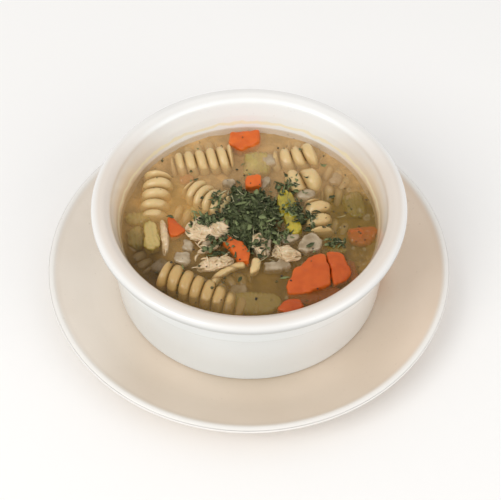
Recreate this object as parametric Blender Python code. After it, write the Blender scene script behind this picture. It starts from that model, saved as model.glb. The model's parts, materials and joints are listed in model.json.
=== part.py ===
"""A bowl of chicken noodle soup on its saucer, in metres with +Z up.

The origin lies on the table, under the middle of the saucer. +X is to the right of someone who
looks across the soup along +Y. The bowl and the saucer are turned profiles. The broth is one solid
up to its level, with a pocket round every piece that breaks its surface. The pieces are lofts
along a bent axis (corkscrew noodles, shreds of chicken) or cut slabs with softened edges (carrot,
celery, onion). The chopped parsley is one mound out to its uneven outline.
"""

import math

import bmesh
import bpy
import numpy as np
from mathutils import Vector

MM = 0.001
GAP = 0.3 * MM  # between pieces that touch
POCKET_GAP = 0.4 * MM  # between a piece and its pocket in the broth

# Saucer
SAUCER_RADIUS = 85.9 * MM
SAUCER_RIM_CENTRE = 15.0 * MM  # height of the rolled rim's widest ring
SAUCER_ROLL = 1.5 * MM
WELL_FLOOR = 6.6 * MM
WELL_RADIUS = 66.5 * MM
FOOT_OUTER = 51.5 * MM
FOOT_INNER = 47.0 * MM
FOOT_HEIGHT = 2.6 * MM

# Bowl
RIM_RADIUS = 64.0 * MM
RIM_HEIGHT = 53.1 * MM  # the rim's widest ring above the table
CREST_RISE = 1.5 * MM
LIP_FACE = 2.6 * MM  # height of the lip's outer face
BAND_RADIUS = 60.4 * MM
BAND_FOOT = 39.8 * MM  # where the band under the lip steps in to the wall
WALL_TOP_RADIUS = 58.4 * MM
BASE_RADIUS = 56.4 * MM
BASE_CORNER = 1.2 * MM
BASE_HEIGHT = WELL_FLOOR + GAP
FLOOR_THICKNESS = 4.2 * MM

# Soup
SOUP_LEVEL = 40.0 * MM
SOUP_RADIUS = 53.2 * MM  # of the bowl's inner wall at the soup's level
INNER_FOOT_RADIUS = 48.5 * MM
INNER_CORNER = 5.0 * MM

# Corkscrew noodles
NOODLE_RADIUS = 6.0 * MM
NOODLE_CORE = 0.42  # radius at the bottom of the groove, as a share of the fin's
FIN_SPACING = 4.6 * MM  # axial length of one full turn of the fin
FIN_FULLNESS = 2.4
RINGS_PER_TURN = 5
NOODLE_SIDES = 8
TUBE_SIDES = 10  # of the plain tube that clears a noodle's pocket

# Parsley heap
HEAP_CENTRE = (0.2, 1.9)  # millimetres from the bowl's axis
HEAP_HALF_WIDTH = 14.0 * MM
HEAP_HALF_DEPTH = 16.2 * MM
HEAP_HEIGHT = 5.2 * MM

TURN_STEPS = 40


def material(name, colour, roughness):
    """A plain Principled BSDF with no metal in it."""
    made = bpy.data.materials.new(name)
    made.use_nodes = True
    shader = made.node_tree.nodes["Principled BSDF"]
    shader.inputs["Base Color"].default_value = (*colour, 1.0)
    shader.inputs["Roughness"].default_value = roughness
    shader.inputs["Metallic"].default_value = 0.0
    return made


def at(x, y, z):
    """A point x, y millimetres from the bowl's axis and z millimetres above the soup's level."""
    return Vector((x * MM, y * MM, SOUP_LEVEL + z * MM))


def add_object(name, mesh_builder, slot):
    """Closes the mesh, turns its faces outwards and links it to the scene."""
    bmesh.ops.recalc_face_normals(mesh_builder, faces=mesh_builder.faces)
    mesh = bpy.data.meshes.new(name)
    mesh_builder.to_mesh(mesh)
    mesh_builder.free()
    mesh.materials.append(slot)
    made = bpy.data.objects.new(name, mesh)
    bpy.context.scene.collection.objects.link(made)
    return made


def as_cutter(made):
    made.hide_render = True
    made.display_type = "WIRE"
    return made


def arc(centre_r, centre_z, radius, start, end, steps):
    """Points on an arc of the (radius, height) plane, from start to end degrees."""
    angles = np.radians(np.linspace(start, end, steps + 1))
    return [(centre_r + radius * math.cos(a), centre_z + radius * math.sin(a)) for a in angles]


def turned(name, profile, slot):
    """Spins a profile, which starts and ends on the axis, right round Z."""
    built = bmesh.new()
    points = [built.verts.new((r, 0.0, z)) for r, z in profile]
    edges = [built.edges.new(pair) for pair in zip(points, points[1:])]
    bmesh.ops.spin(
        built,
        geom=points + edges,
        cent=(0.0, 0.0, 0.0),
        axis=(0.0, 0.0, 1.0),
        angle=2 * math.pi,
        steps=TURN_STEPS,
    )
    bmesh.ops.remove_doubles(built, verts=built.verts, dist=1e-6)
    made = add_object(name, built, slot)
    made.data.shade_smooth()
    made.data.set_sharp_from_angle(angle=math.radians(35))
    return made


def loft(name, rings, slot):
    """Joins rings of points in order and closes both ends with a fan."""
    built = bmesh.new()
    loops = [[built.verts.new(point) for point in ring] for ring in rings]
    count = len(loops[0])
    for low, high in zip(loops, loops[1:]):
        for i in range(count):
            j = (i + 1) % count
            built.faces.new((low[i], low[j], high[j], high[i]))
    for loop in (loops[0], loops[-1]):
        middle = built.verts.new(sum((v.co for v in loop), Vector()) / count)
        for i in range(count):
            built.faces.new((loop[i], loop[(i + 1) % count], middle))
    made = add_object(name, built, slot)
    made.data.shade_smooth()
    made.data.set_sharp_from_angle(angle=math.radians(50))
    return made


def saucer(slot):
    """A flat well, a cove up to a rolled rim, and a foot ring underneath."""
    cove = [
        (
            WELL_RADIUS + share * (SAUCER_RADIUS - 4.6 * MM - WELL_RADIUS),
            WELL_FLOOR + (SAUCER_RIM_CENTRE + 0.6 * MM - WELL_FLOOR) * share**1.7,
        )
        for share in np.linspace(0.0, 1.0, 5)
    ]
    rim = arc(
        SAUCER_RADIUS - SAUCER_ROLL, SAUCER_RIM_CENTRE, SAUCER_ROLL, 100.0, -70.0, 4
    )
    profile = [
        (0.0, WELL_FLOOR),
        *cove,
        (SAUCER_RADIUS - 3.2 * MM, SAUCER_RIM_CENTRE + 1.25 * MM),
        *rim,
        (SAUCER_RADIUS - 6.0 * MM, SAUCER_RIM_CENTRE - 3.4 * MM),
        (WELL_RADIUS + 4.0 * MM, WELL_FLOOR - 2.0 * MM),
        (FOOT_OUTER + 1.5 * MM, FOOT_HEIGHT),
        (FOOT_OUTER, 0.0),
        (FOOT_INNER, 0.0),
        (FOOT_INNER - 1.0 * MM, FOOT_HEIGHT),
        (0.0, FOOT_HEIGHT),
    ]
    return turned("saucer", profile, slot)


def inner_wall(inset):
    """The bowl's inside from the axis to the soup's level, moved inwards by an inset."""
    floor = BASE_HEIGHT + FLOOR_THICKNESS
    corner = arc(
        INNER_FOOT_RADIUS - INNER_CORNER,
        floor + INNER_CORNER,
        INNER_CORNER - inset,
        -90.0,
        -4.0,
        3,
    )
    return [(0.0, floor + inset), *corner, (SOUP_RADIUS - inset, SOUP_LEVEL)]


def bowl(slot):
    """A straight-sided crock: rolled lip, band under the lip, wall, and a low foot."""
    inner_lip = [
        (53.9 * MM, SOUP_LEVEL + 2.6 * MM),
        (55.1 * MM, RIM_HEIGHT - 6.0 * MM),
        (56.4 * MM, RIM_HEIGHT - 1.6 * MM),
        (57.7 * MM, RIM_HEIGHT + 0.3 * MM),
        (61.2 * MM, RIM_HEIGHT + CREST_RISE),
    ]
    lip_corner = arc(RIM_RADIUS - 1.6 * MM, RIM_HEIGHT - 0.2 * MM, 1.6 * MM, 62.0, 0.0, 2)
    band = [
        (RIM_RADIUS, RIM_HEIGHT - LIP_FACE),
        (RIM_RADIUS - 0.9 * MM, RIM_HEIGHT - LIP_FACE - 0.9 * MM),
        (BAND_RADIUS + 0.3 * MM, RIM_HEIGHT - LIP_FACE - 1.5 * MM),
        (BAND_RADIUS, BAND_FOOT + 0.8 * MM),
        (BAND_RADIUS - 0.7 * MM, BAND_FOOT),
        (WALL_TOP_RADIUS, BAND_FOOT - 0.7 * MM),
    ]
    base_corner = arc(
        BASE_RADIUS - BASE_CORNER, BASE_HEIGHT + BASE_CORNER, BASE_CORNER, 0.0, -90.0, 2
    )
    recess = [
        (49.5 * MM, BASE_HEIGHT),
        (48.5 * MM, BASE_HEIGHT + 1.0 * MM),
        (0.0, BASE_HEIGHT + 1.0 * MM),
    ]
    profile = [*inner_wall(0.0), *inner_lip, *lip_corner, *band, *base_corner, *recess]
    return turned("bowl", profile, slot)


def broth(slot, cutters):
    """Fills the bowl up to the soup's level, with a pocket round each piece."""
    profile = [*inner_wall(GAP), (0.0, SOUP_LEVEL)]
    made = turned("broth", profile, slot)
    cut_by(made, cutters)
    return made


def cut_by(made, cutters):
    """Cuts every clearance out of a piece with one Boolean, so that pockets that meet join up."""
    clearances = bpy.data.collections.new(made.name + "_clearances")
    for cutter in cutters:
        clearances.objects.link(cutter)
    cut = made.modifiers.new("pockets", "BOOLEAN")
    cut.operation = "DIFFERENCE"
    cut.solver = "EXACT"
    cut.operand_type = "COLLECTION"
    cut.collection = clearances


def bent_axis(start, end, bow, steps):
    """Points, and two cross directions at each, on a quadratic curve that bulges by bow."""
    middle = (start + end) / 2 + 2 * bow
    frames = []
    for share in np.linspace(0.0, 1.0, steps + 1):
        point = start * (1 - share) ** 2 + middle * (2 * share * (1 - share)) + end * share**2
        along = (middle - start) * (1 - share) + (end - middle) * share
        side = along.cross(Vector((0.0, 0.0, 1.0))).normalized()
        frames.append((point, side, side.cross(along).normalized()))
    return frames


def fin_share(phase):
    """Share of the radius at an angle from the fin's crest."""
    wrapped = abs((phase + math.pi) % (2 * math.pi) - math.pi) / math.pi
    return NOODLE_CORE + (1 - NOODLE_CORE) * (1 - wrapped**FIN_FULLNESS) ** (1 / FIN_FULLNESS)


def noodle(name, slot, start, end, bow=(0.0, 0.0, 0.0), twist=0.0, spacing=1.0, radius=1.0):
    """A corkscrew noodle and the plain tube that clears a pocket for it.

    The fin winds once round the core in every FIN_SPACING along the bent axis, and both cut ends
    narrow a little. Positions are in millimetres from the middle of the soup's surface; spacing and
    radius are shares of the usual ones.
    """
    first, last = at(*start), at(*end)
    bulge = Vector(bow) * MM
    length = (last - first).length
    steps = math.ceil(RINGS_PER_TURN * length / (FIN_SPACING * spacing))
    rings = []
    for i, (point, side, up) in enumerate(bent_axis(first, last, bulge, steps)):
        turn = 2 * math.pi * i / RINGS_PER_TURN - math.radians(twist)
        width = NOODLE_RADIUS * radius * (0.88 if i in (0, steps) else 1.0)
        rings.append(
            [
                point + (math.cos(a) * side + math.sin(a) * up) * (width * fin_share(a + turn))
                for a in (2 * math.pi * k / NOODLE_SIDES for k in range(NOODLE_SIDES))
            ]
        )
    loft(name, rings, slot)
    along = (last - first).normalized() * POCKET_GAP
    wide = (NOODLE_RADIUS * radius + GAP) / math.cos(math.pi / TUBE_SIDES)
    tube = [
        [
            point + wide * (math.cos(a) * side + math.sin(a) * up)
            for a in np.linspace(0.0, 2 * math.pi, TUBE_SIDES, endpoint=False)
        ]
        for point, side, up in bent_axis(first - along, last + along, bulge, 3)
    ]
    return as_cutter(loft(name + "_clearance", tube, slot))


def outward(outline, distance):
    """Moves each side of a counter-clockwise outline out by a distance."""
    points = [Vector(p) for p in outline]
    moved = []
    for before, here, after in zip(points[-1:] + points[:-1], points, points[1:] + points[:1]):
        into, out = (here - before).normalized(), (after - here).normalized()
        normal_in, normal_out = Vector((into.y, -into.x)), Vector((out.y, -out.x))
        middle = (normal_in + normal_out).normalized()
        moved.append(here + middle * distance / max(middle.dot(normal_in), 0.5))
    return moved


def slab(name, slot, outline, bottom, top, tilt=(0.0, 0.0), soften=0.7):
    """A cut piece of vegetable and its clearance.

    The outline, in millimetres and counter-clockwise from above, is extruded from bottom to top,
    its edges are softened by a bevel, and the piece is tilted about its own middle by degrees
    about X and Y.
    """
    middle = sum((Vector(p) for p in outline), Vector((0.0, 0.0))) / len(outline)
    grown = POCKET_GAP / MM
    made = []
    for label, spread in ((name, 0.0), (name + "_clearance", grown)):
        built = bmesh.new()
        ring = [
            built.verts.new(((p.x - middle.x) * MM, (p.y - middle.y) * MM, (bottom - spread) * MM))
            for p in outward(outline, spread)
        ]
        base = built.faces.new(ring)
        lifted = bmesh.ops.extrude_face_region(built, geom=[base])["geom"]
        rise = Vector((0.0, 0.0, (top - bottom + 2 * spread) * MM))
        bmesh.ops.translate(
            built, vec=rise, verts=[v for v in lifted if isinstance(v, bmesh.types.BMVert)]
        )
        if not spread:
            bmesh.ops.bevel(
                built,
                geom=built.edges[:],
                offset=soften * MM,
                segments=1,
                affect="EDGES",
                clamp_overlap=True,
            )
        piece = add_object(label, built, slot)
        piece.location = at(middle.x, middle.y, 0.0)
        piece.rotation_euler = (math.radians(tilt[0]), math.radians(tilt[1]), 0.0)
        made.append(piece)
    return as_cutter(made[1])


def shred(name, slot, start, end, bow, half_width, half_height, lumps):
    """A pulled shred of chicken and its clearance: a lumpy rounded bar along a bent axis.

    The half width swells from both ends by a half-sine, and waves of the given phase make its
    outline uneven.
    """
    first, last = at(*start), at(*end)
    bulge = Vector(bow) * MM
    cutter = None
    for label, spread, count, steps in (
        (name, 0.0, 9, 6),
        (name + "_clearance", 1.5 * POCKET_GAP, 8, 4),
    ):
        rings = []
        along = (last - first).normalized() * spread
        frames = bent_axis(first - along, last + along, bulge, steps)
        for i, (point, side, up) in enumerate(frames):
            share = i / steps
            swell = 0.45 + 0.55 * math.sin(math.pi * share) ** 0.6
            ring = []
            for a in np.linspace(0.0, 2 * math.pi, count, endpoint=False):
                uneven = 0.93 + (0.07 * math.sin(3 * a + lumps + 5 * share) if not spread else 0.07)
                wide = (half_width * MM * swell * uneven + spread) * math.cos(a)
                high = (half_height * MM * swell * uneven + spread) * math.sin(a)
                ring.append(point + wide * side + high * up)
            rings.append(ring)
        cutter = loft(label, rings, slot)
    return as_cutter(cutter)


def herb_heap(slot, cutters):
    """The mound of chopped parsley: rings of an uneven oval outline under a domed, lumpy top."""
    base = at(*HEAP_CENTRE, 0.0) + Vector((0.0, 0.0, GAP))
    around = np.linspace(0.0, 2 * math.pi, 26, endpoint=False)
    rings = []
    for share, level in ((0.97, 0.0), (1.0, 0.14), (0.86, 0.5), (0.62, 0.8), (0.32, 0.97)):
        ring = []
        for a in around:
            edge = 1.0 + 0.07 * math.sin(3 * a + 0.6) + 0.05 * math.sin(7 * a) - 0.05 * math.cos(5 * a)
            lump = 1.0 + 0.10 * math.sin(4 * a + 9 * share)
            ring.append(
                base
                + Vector(
                    (
                        HEAP_HALF_WIDTH * share * edge * math.cos(a),
                        HEAP_HALF_DEPTH * share * edge * math.sin(a),
                        HEAP_HEIGHT * level * lump,
                    )
                )
            )
        rings.append(ring)
    made = loft("herb_heap", rings, slot)
    cut_by(made, cutters)
    return made


def noodles(slot):
    """The seven corkscrew noodles that break the surface, by the name of their place."""
    return {
        "back_left": noodle(
            "noodle_back_left", slot, (-33.0, 32.6, -3.6), (-7.6, 34.6, -1.2), (0.0, 1.0, 0.0), 60
        ),
        "left": noodle(
            "noodle_left", slot, (-38.4, 25.6, -1.8), (-40.8, 2.6, -4.4), (0.0, 0.0, 0.0), 225, 1.15, 1.08
        ),
        "middle": noodle(
            "noodle_middle", slot, (-24.6, 18.8, -3.6), (-10.8, 5.4, -0.8), (0.8, 0.8, 0.4), 30
        ),
        "back_right": noodle(
            "noodle_back_right", slot, (11.2, 36.0, -4.6), (28.6, 37.0, -0.8), (0.0, 0.6, 0.0), 150, 1.15
        ),
        "right": noodle(
            "noodle_right", slot, (15.2, 21.6, -1.8), (30.6, 22.6, -0.6), (0.0, 0.0, 0.0), 300, 1.75
        ),
        "side": noodle(
            "noodle_side", slot, (28.6, 12.0, -2.4), (28.8, -5.8, -2.8), (0.0, 0.0, 0.0), 90, 1.45
        ),
        "front": noodle(
            "noodle_front", slot, (-34.6, -26.6, -1.6), (-1.5, -41.6, -4.9), (-0.6, -1.0, 0.3), 195, 1.06
        ),
    }


def carrots(slot):
    """The seven pieces of carrot at the surface."""
    return {
        "back": slab(
            "carrot_back",
            slot,
            [(-9.6, 43.8), (-5.0, 39.2), (0.4, 41.0), (4.8, 44.4), (4.6, 50.2), (-7.6, 49.6)],
            -5.2,
            1.7,
            (3.0, -2.0),
            0.9,
        ),
        "cube": slab(
            "carrot_cube",
            slot,
            [(-1.6, 16.6), (5.1, 16.9), (4.7, 22.6), (-2.0, 22.2)],
            -2.6,
            3.8,
            (6.0, 0.0),
        ),
        "wedge": slab(
            "carrot_wedge",
            slot,
            [(-32.2, -8.4), (-29.2, -7.9), (-26.1, -5.8), (-30.9, 0.4), (-33.6, 0.8)],
            -2.6,
            1.5,
            (2.0, 3.0),
        ),
        "strip": slab(
            "carrot_strip",
            slot,
            [
                (-4.2, -22.2),
                (0.0, -22.8),
                (0.3, -18.4),
                (-2.6, -11.4),
                (-7.0, -11.3),
                (-9.4, -8.2),
                (-11.0, -12.2),
                (-7.0, -16.8),
            ],
            -1.2,
            2.6,
            (3.0, 0.0),
        ),
        "coin": slab(
            "carrot_coin",
            slot,
            [
                (15.4, -37.6),
                (22.4, -37.0),
                (32.7, -32.8),
                (32.2, -24.4),
                (30.0, -19.0),
                (26.6, -18.6),
                (18.8, -25.6),
                (15.2, -32.8),
            ],
            -6.0,
            1.9,
            (4.5, -2.0),
            0.9,
        ),
        "chunk": slab(
            "carrot_chunk",
            slot,
            [(33.6, -32.6), (39.4, -29.6), (40.4, -25.0), (37.8, -18.0), (31.0, -17.6), (32.9, -24.6)],
            -6.4,
            1.6,
            (5.0, 3.0),
            0.9,
        ),
        "front": slab(
            "carrot_front",
            slot,
            [(10.8, -44.6), (16.6, -46.4), (21.4, -43.4), (20.2, -40.0), (16.6, -39.2)],
            -4.2,
            1.0,
            (2.0, 0.0),
        ),
    }


def celery(slot):
    """The three pieces of celery at the surface."""
    return {
        "left": slab(
            "celery_left",
            slot,
            [
                (-42.4, -14.2),
                (-39.6, -15.8),
                (-36.4, -13.2),
                (-36.6, -7.8),
                (-39.0, -1.0),
                (-42.6, -1.2),
                (-43.2, -6.0),
            ],
            -4.0,
            1.3,
            (0.0, 3.0),
        ),
        "right": slab(
            "celery_right",
            slot,
            [
                (19.4, -8.6),
                (22.0, -5.8),
                (20.0, 1.8),
                (19.6, 9.2),
                (17.6, 14.6),
                (13.0, 15.2),
                (11.8, 9.4),
                (14.0, 1.8),
                (16.0, -6.4),
            ],
            -3.0,
            2.6,
            (0.0, -5.0),
            1.0,
        ),
        "back": slab(
            "celery_back",
            slot,
            [(-2.8, 26.2), (8.4, 27.4), (8.6, 38.4), (2.6, 39.6), (-2.0, 37.6)],
            -4.4,
            0.9,
            (1.0, 0.0),
        ),
    }


def onions(slot):
    """The four translucent pieces of onion at the surface."""
    return {
        "far_left": slab(
            "onion_far_left",
            slot,
            [(-27.2, -15.2), (-23.4, -16.0), (-22.4, -12.0), (-24.6, -10.2), (-27.0, -10.6)],
            -2.0,
            1.5,
            (0.0, 4.0),
            0.6,
        ),
        "left": slab(
            "onion_left",
            slot,
            [(-30.2, -21.4), (-25.8, -23.0), (-23.4, -21.8), (-24.2, -17.0), (-30.0, -16.8)],
            -2.2,
            1.2,
            (-3.0, 0.0),
            0.6,
        ),
        "middle": slab(
            "onion_middle",
            slot,
            [(6.2, -25.8), (13.6, -25.4), (13.6, -22.2), (6.0, -21.4)],
            -2.8,
            0.9,
            (3.0, 0.0),
            0.6,
        ),
        "right": slab(
            "onion_right",
            slot,
            [(20.6, -14.2), (23.4, -16.4), (28.4, -14.6), (29.2, -11.2), (25.4, -7.6), (22.6, -9.2)],
            -2.4,
            1.7,
            (2.0, 3.0),
            0.6,
        ),
    }


def chicken(slot):
    """The six pulled pieces of chicken at the surface."""
    return {
        "large": shred(
            "chicken_large", slot, (-24.4, -6.2, 0.6), (-9.0, -5.0, 0.8), (0, 0.8, 0.6), 6.2, 3.6, 0.4
        ),
        "sliver": shred(
            "chicken_sliver", slot, (-20.4, -16.6, 0.0), (-12.4, -13.6, 0.6), (0, 0, 0), 1.5, 1.5, 2.0
        ),
        "low": shred(
            "chicken_low", slot, (-19.6, -24.4, -0.4), (-7.6, -21.0, 0.2), (0, 0.6, 0), 2.7, 1.9, 1.1
        ),
        "right": shred(
            "chicken_right", slot, (11.0, -17.0, 0.2), (19.4, -18.8, 0.2), (0, 0.6, 0.4), 3.2, 2.6, 3.2
        ),
        "strip": shred(
            "chicken_strip", slot, (-35.7, -0.8, 0.2), (-33.9, -16.6, -0.2), (0.5, 0, 0), 1.7, 1.7, 0.2
        ),
        "under_herbs": shred(
            "chicken_under_herbs", slot, (2.4, -5.6, 1.4), (5.6, -18.2, 0.6), (0, 0, 0.3), 3.0, 2.2, 4.4
        ),
    }


def noodle_scrap(slot):
    """The broken end of a noodle that lies in front of the carrot strip."""
    return slab(
        "noodle_scrap",
        slot,
        [(0.8, -26.6), (3.6, -25.4), (4.2, -21.2), (1.6, -20.4), (1.0, -23.2)],
        -2.4,
        1.2,
        (0.0, 0.0),
        0.8,
    )


def build():
    for old in list(bpy.data.objects):
        bpy.data.objects.remove(old, do_unlink=True)
    stoneware = material("stoneware", (0.86, 0.85, 0.82), 0.25)
    cream_stoneware = material("cream_stoneware", (0.78, 0.69, 0.58), 0.3)
    liquid = material("broth", (0.42, 0.26, 0.10), 0.1)
    pasta = material("pasta", (0.72, 0.52, 0.27), 0.35)
    carrot = material("carrot", (0.70, 0.17, 0.04), 0.35)
    green = material("celery", (0.45, 0.42, 0.10), 0.35)
    onion = material("onion", (0.55, 0.46, 0.36), 0.25)
    meat = material("chicken", (0.74, 0.58, 0.41), 0.5)
    parsley = material("parsley", (0.05, 0.09, 0.03), 0.6)

    saucer(cream_stoneware)
    bowl(stoneware)
    noodle_clear = noodles(pasta)
    carrot_clear = carrots(carrot)
    celery_clear = celery(green)
    onion_clear = onions(onion)
    chicken_clear = chicken(meat)
    scrap_clear = noodle_scrap(pasta)
    broth(
        liquid,
        [
            *noodle_clear.values(),
            *carrot_clear.values(),
            *celery_clear.values(),
            *onion_clear.values(),
            *chicken_clear.values(),
            scrap_clear,
        ],
    )
    herb_heap(
        parsley,
        [
            noodle_clear["middle"],
            carrot_clear["cube"],
            carrot_clear["strip"],
            celery_clear["right"],
            chicken_clear["large"],
            chicken_clear["under_herbs"],
        ],
    )


build()
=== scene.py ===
"""Looks for a bowl of chicken noodle soup on its saucer.

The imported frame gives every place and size. The bowl and the saucer are turned from smooth
profiles. Each noodle is swept along the middle line of its node, each cut vegetable grows from the
cross-section of its node, and each shred of chicken follows its node's long axis. The broth is a
cloudy body with a thin, glossy skin over it, and what lies between the two shows through the skin.
Chopped parsley, pepper, oil and sunken pieces are added here.
"""

import json
import math

import bpy
import numpy as np
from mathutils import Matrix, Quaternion, Vector

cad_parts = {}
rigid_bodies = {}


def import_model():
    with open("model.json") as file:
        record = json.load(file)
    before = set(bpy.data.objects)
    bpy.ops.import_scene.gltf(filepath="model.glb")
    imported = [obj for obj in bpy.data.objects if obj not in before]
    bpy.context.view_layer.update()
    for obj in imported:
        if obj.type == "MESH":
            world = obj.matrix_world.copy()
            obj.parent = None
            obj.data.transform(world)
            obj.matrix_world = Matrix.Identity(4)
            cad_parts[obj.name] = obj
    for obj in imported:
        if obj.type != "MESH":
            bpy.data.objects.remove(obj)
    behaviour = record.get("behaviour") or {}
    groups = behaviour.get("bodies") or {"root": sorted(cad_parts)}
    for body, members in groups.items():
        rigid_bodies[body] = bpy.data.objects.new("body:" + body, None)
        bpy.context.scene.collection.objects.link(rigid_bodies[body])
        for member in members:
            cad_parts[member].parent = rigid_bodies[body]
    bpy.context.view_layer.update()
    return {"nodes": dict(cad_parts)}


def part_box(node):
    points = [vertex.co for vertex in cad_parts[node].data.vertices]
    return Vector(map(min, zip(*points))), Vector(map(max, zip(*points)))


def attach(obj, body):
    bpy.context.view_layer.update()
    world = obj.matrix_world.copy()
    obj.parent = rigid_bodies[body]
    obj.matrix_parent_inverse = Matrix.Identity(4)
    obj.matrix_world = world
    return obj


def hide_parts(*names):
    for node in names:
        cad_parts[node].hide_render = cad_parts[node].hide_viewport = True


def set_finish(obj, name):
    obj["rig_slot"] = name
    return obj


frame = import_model()

bl_info = {
    "name": "Chicken noodle soup",
    "version": (1, 0, 0),
    "blender": (4, 5, 0),
    "location": "3D View > Sidebar > Soup",
    "description": "Builds the looks of a bowl of chicken noodle soup around its packed frame",
    "category": "Add Mesh",
}

MM = 0.001
BOWL_LOW, BOWL_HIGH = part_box("bowl")
SAUCER_LOW, SAUCER_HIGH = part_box("saucer")
BROTH_LOW, BROTH_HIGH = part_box("broth")
HEAP_LOW, HEAP_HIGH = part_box("herb_heap")
LEVEL = BROTH_HIGH.z
SOUP_RADIUS = BROTH_HIGH.x
FLOOR_HALF = 3.0
FLAKE_STATIONS = 5
FLAKE_CORNERS = 4
FLAKE_POINTS = FLAKE_STATIONS * FLAKE_CORNERS + 2
SOLID_SLOTS = ("pasta", "carrot", "celery", "onion", "chicken", "parsley")
WETTED_SLOTS = ("pasta", "carrot", "celery", "onion", "chicken")


def colour_property(name, description, default):
    """A colour setting."""
    return bpy.props.FloatVectorProperty(
        name=name, description=description, default=default, subtype="COLOR", min=0, max=1
    )


def length_property(name, description, default):
    """A length setting, in metres."""
    return bpy.props.FloatProperty(
        name=name, description=description, default=default, unit="LENGTH", precision=5
    )


def count_property(name, description, default):
    """A setting that counts things."""
    return bpy.props.IntProperty(name=name, description=description, default=default, min=1)


class SoupCrockery(bpy.types.PropertyGroup):
    """Sizes and glazes of the bowl and the saucer."""

    steps_round: count_property("Steps round", "Steps round a turned piece", 192)
    rim_radius: length_property("Rim radius", "Radius of the bowl's widest ring", BOWL_HIGH.x)
    rim_top: length_property("Rim top", "Height of the bowl's rim", BOWL_HIGH.z)
    base_height: length_property("Base height", "Height of the bowl's foot", BOWL_LOW.z)
    soup_radius: length_property("Soup radius", "Bowl's inside at the soup", SOUP_RADIUS)
    wall_middle: length_property("Wall middle", "Radius between the bowl's inner and outer faces", 57.5 * MM)
    saucer_radius: length_property("Saucer radius", "Outer radius of the saucer", SAUCER_HIGH.x)
    saucer_top: length_property("Saucer top", "Height of the saucer's rim", SAUCER_HIGH.z)
    bowl_glaze: colour_property("Bowl glaze", "Off-white glaze", (0.855, 0.85, 0.835))
    # lip: painted shade, warm-tinted, for the top of the lip at the front and sides
    lip: colour_property("Lip", "Warm film on the lip", (0.70, 0.615, 0.535))
    # stain colour: a film of broth on the wall, with painted warm light reflected from the broth
    film_and_reflection: colour_property("Stain", "Film of broth on the wall", (0.84, 0.60, 0.31))
    saucer_glaze: colour_property("Saucer glaze", "Cream glaze", (0.735, 0.62, 0.50))
    # saucer_rim_highlight: a painted highlight along the saucer's rolled rim
    saucer_rim_highlight: colour_property("Saucer rim", "Paler glaze on the rim", (0.84, 0.82, 0.79))
    bare_clay: colour_property("Bare clay", "Unglazed foot ring", (0.62, 0.53, 0.42))


class SoupBroth(bpy.types.PropertyGroup):
    """Colours and depths of the broth."""

    level: length_property("Level", "Height of the broth's surface", LEVEL)
    skin: length_property("Skin", "Thickness of the glossy skin", 0.4 * MM)
    clear_depth: length_property("Clear depth", "Depth of the cloudy body's top", 4.2 * MM)
    front: colour_property("Front", "Broth nearest the viewer", (0.30, 0.178, 0.040))
    left: colour_property("Left", "Golden broth on the left", (0.70, 0.43, 0.135))
    # back: a painted reflection of the bright surround on the far half of the broth
    back: colour_property("Back", "Milky broth at the back", (0.66, 0.44, 0.20))
    right: colour_property("Right", "Olive broth on the right", (0.295, 0.185, 0.034))
    dark: colour_property("Dark", "Deepest broth at the left front", (0.185, 0.103, 0.018))


class SoupPasta(bpy.types.PropertyGroup):
    """Shape and colours of the corkscrew noodles."""

    spacing: length_property("Spacing", "Distance from fin to fin", 4.6 * MM)
    fins: count_property("Fins", "Fins that wind round a noodle", 1)
    groove: length_property("Groove", "Depth of the groove between fins", 3.4 * MM)
    crest: colour_property("Crest", "Top of a fin", (0.68, 0.50, 0.235))
    # hollow: painted shade at the bottom of a groove
    groove_shade: colour_property("Hollow", "Bottom of a groove", (0.36, 0.205, 0.065))
    soaked: colour_property("Soaked", "Fin that lies in the broth", (0.50, 0.31, 0.095))


class SoupGarden(bpy.types.PropertyGroup):
    """Colours of the vegetables, the chicken and the parsley."""

    carrot: colour_property("Carrot", "Bright carrot", (0.72, 0.145, 0.016))
    carrot_deep: colour_property("Deep carrot", "Shaded carrot", (0.42, 0.062, 0.007))
    celery_pale: colour_property("Pale celery", "Inner celery", (0.52, 0.38, 0.125))
    celery_green: colour_property("Green celery", "Outer celery", (0.26, 0.205, 0.012))
    celery_yellow: colour_property("Yellow celery", "Heart of the celery", (0.47, 0.37, 0.018))
    onion: colour_property("Onion", "Cooked onion", (0.56, 0.45, 0.30))
    chicken: colour_property("Chicken", "Pulled chicken", (0.71, 0.545, 0.345))
    # chicken_deep: painted shade between the fibres and over a shaded shred
    chicken_deep: colour_property("Deep chicken", "Between the fibres", (0.45, 0.30, 0.13))
    parsley_dark: colour_property("Dark parsley", "Dark leaf", (0.022, 0.030, 0.008))
    parsley_light: colour_property("Light parsley", "Lit leaf", (0.25, 0.30, 0.125))
    flakes: count_property("Flakes", "Parsley flakes on the heap", 760)
    scattered: count_property("Scattered", "Parsley flakes round the heap", 400)
    grains: count_property("Grains", "Grains of pepper", 90)


class SoupStage(bpy.types.PropertyGroup):
    """Floor, light and camera."""

    floor: colour_property("Floor", "Plain pale floor", (0.93, 0.93, 0.93))
    surround: bpy.props.FloatProperty(
        name="Surround", description="Strength of the even light", default=0.74
    )
    key: bpy.props.FloatProperty(name="Key", description="Watts of the key light", default=6.0)
    lens: bpy.props.FloatProperty(name="Lens", description="Focal length in mm", default=90.68)
    distance: length_property("Distance", "From the rim's middle to the camera", 0.512)
    elevation: bpy.props.FloatProperty(
        name="Elevation",
        description="Camera above the horizon",
        default=math.radians(49.7),
        subtype="ANGLE",
    )
    roll: bpy.props.FloatProperty(
        name="Roll", description="Turn about the line of sight", default=math.radians(0.31), subtype="ANGLE"
    )


# Shapes ---------------------------------------------------------------------------------------


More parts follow.
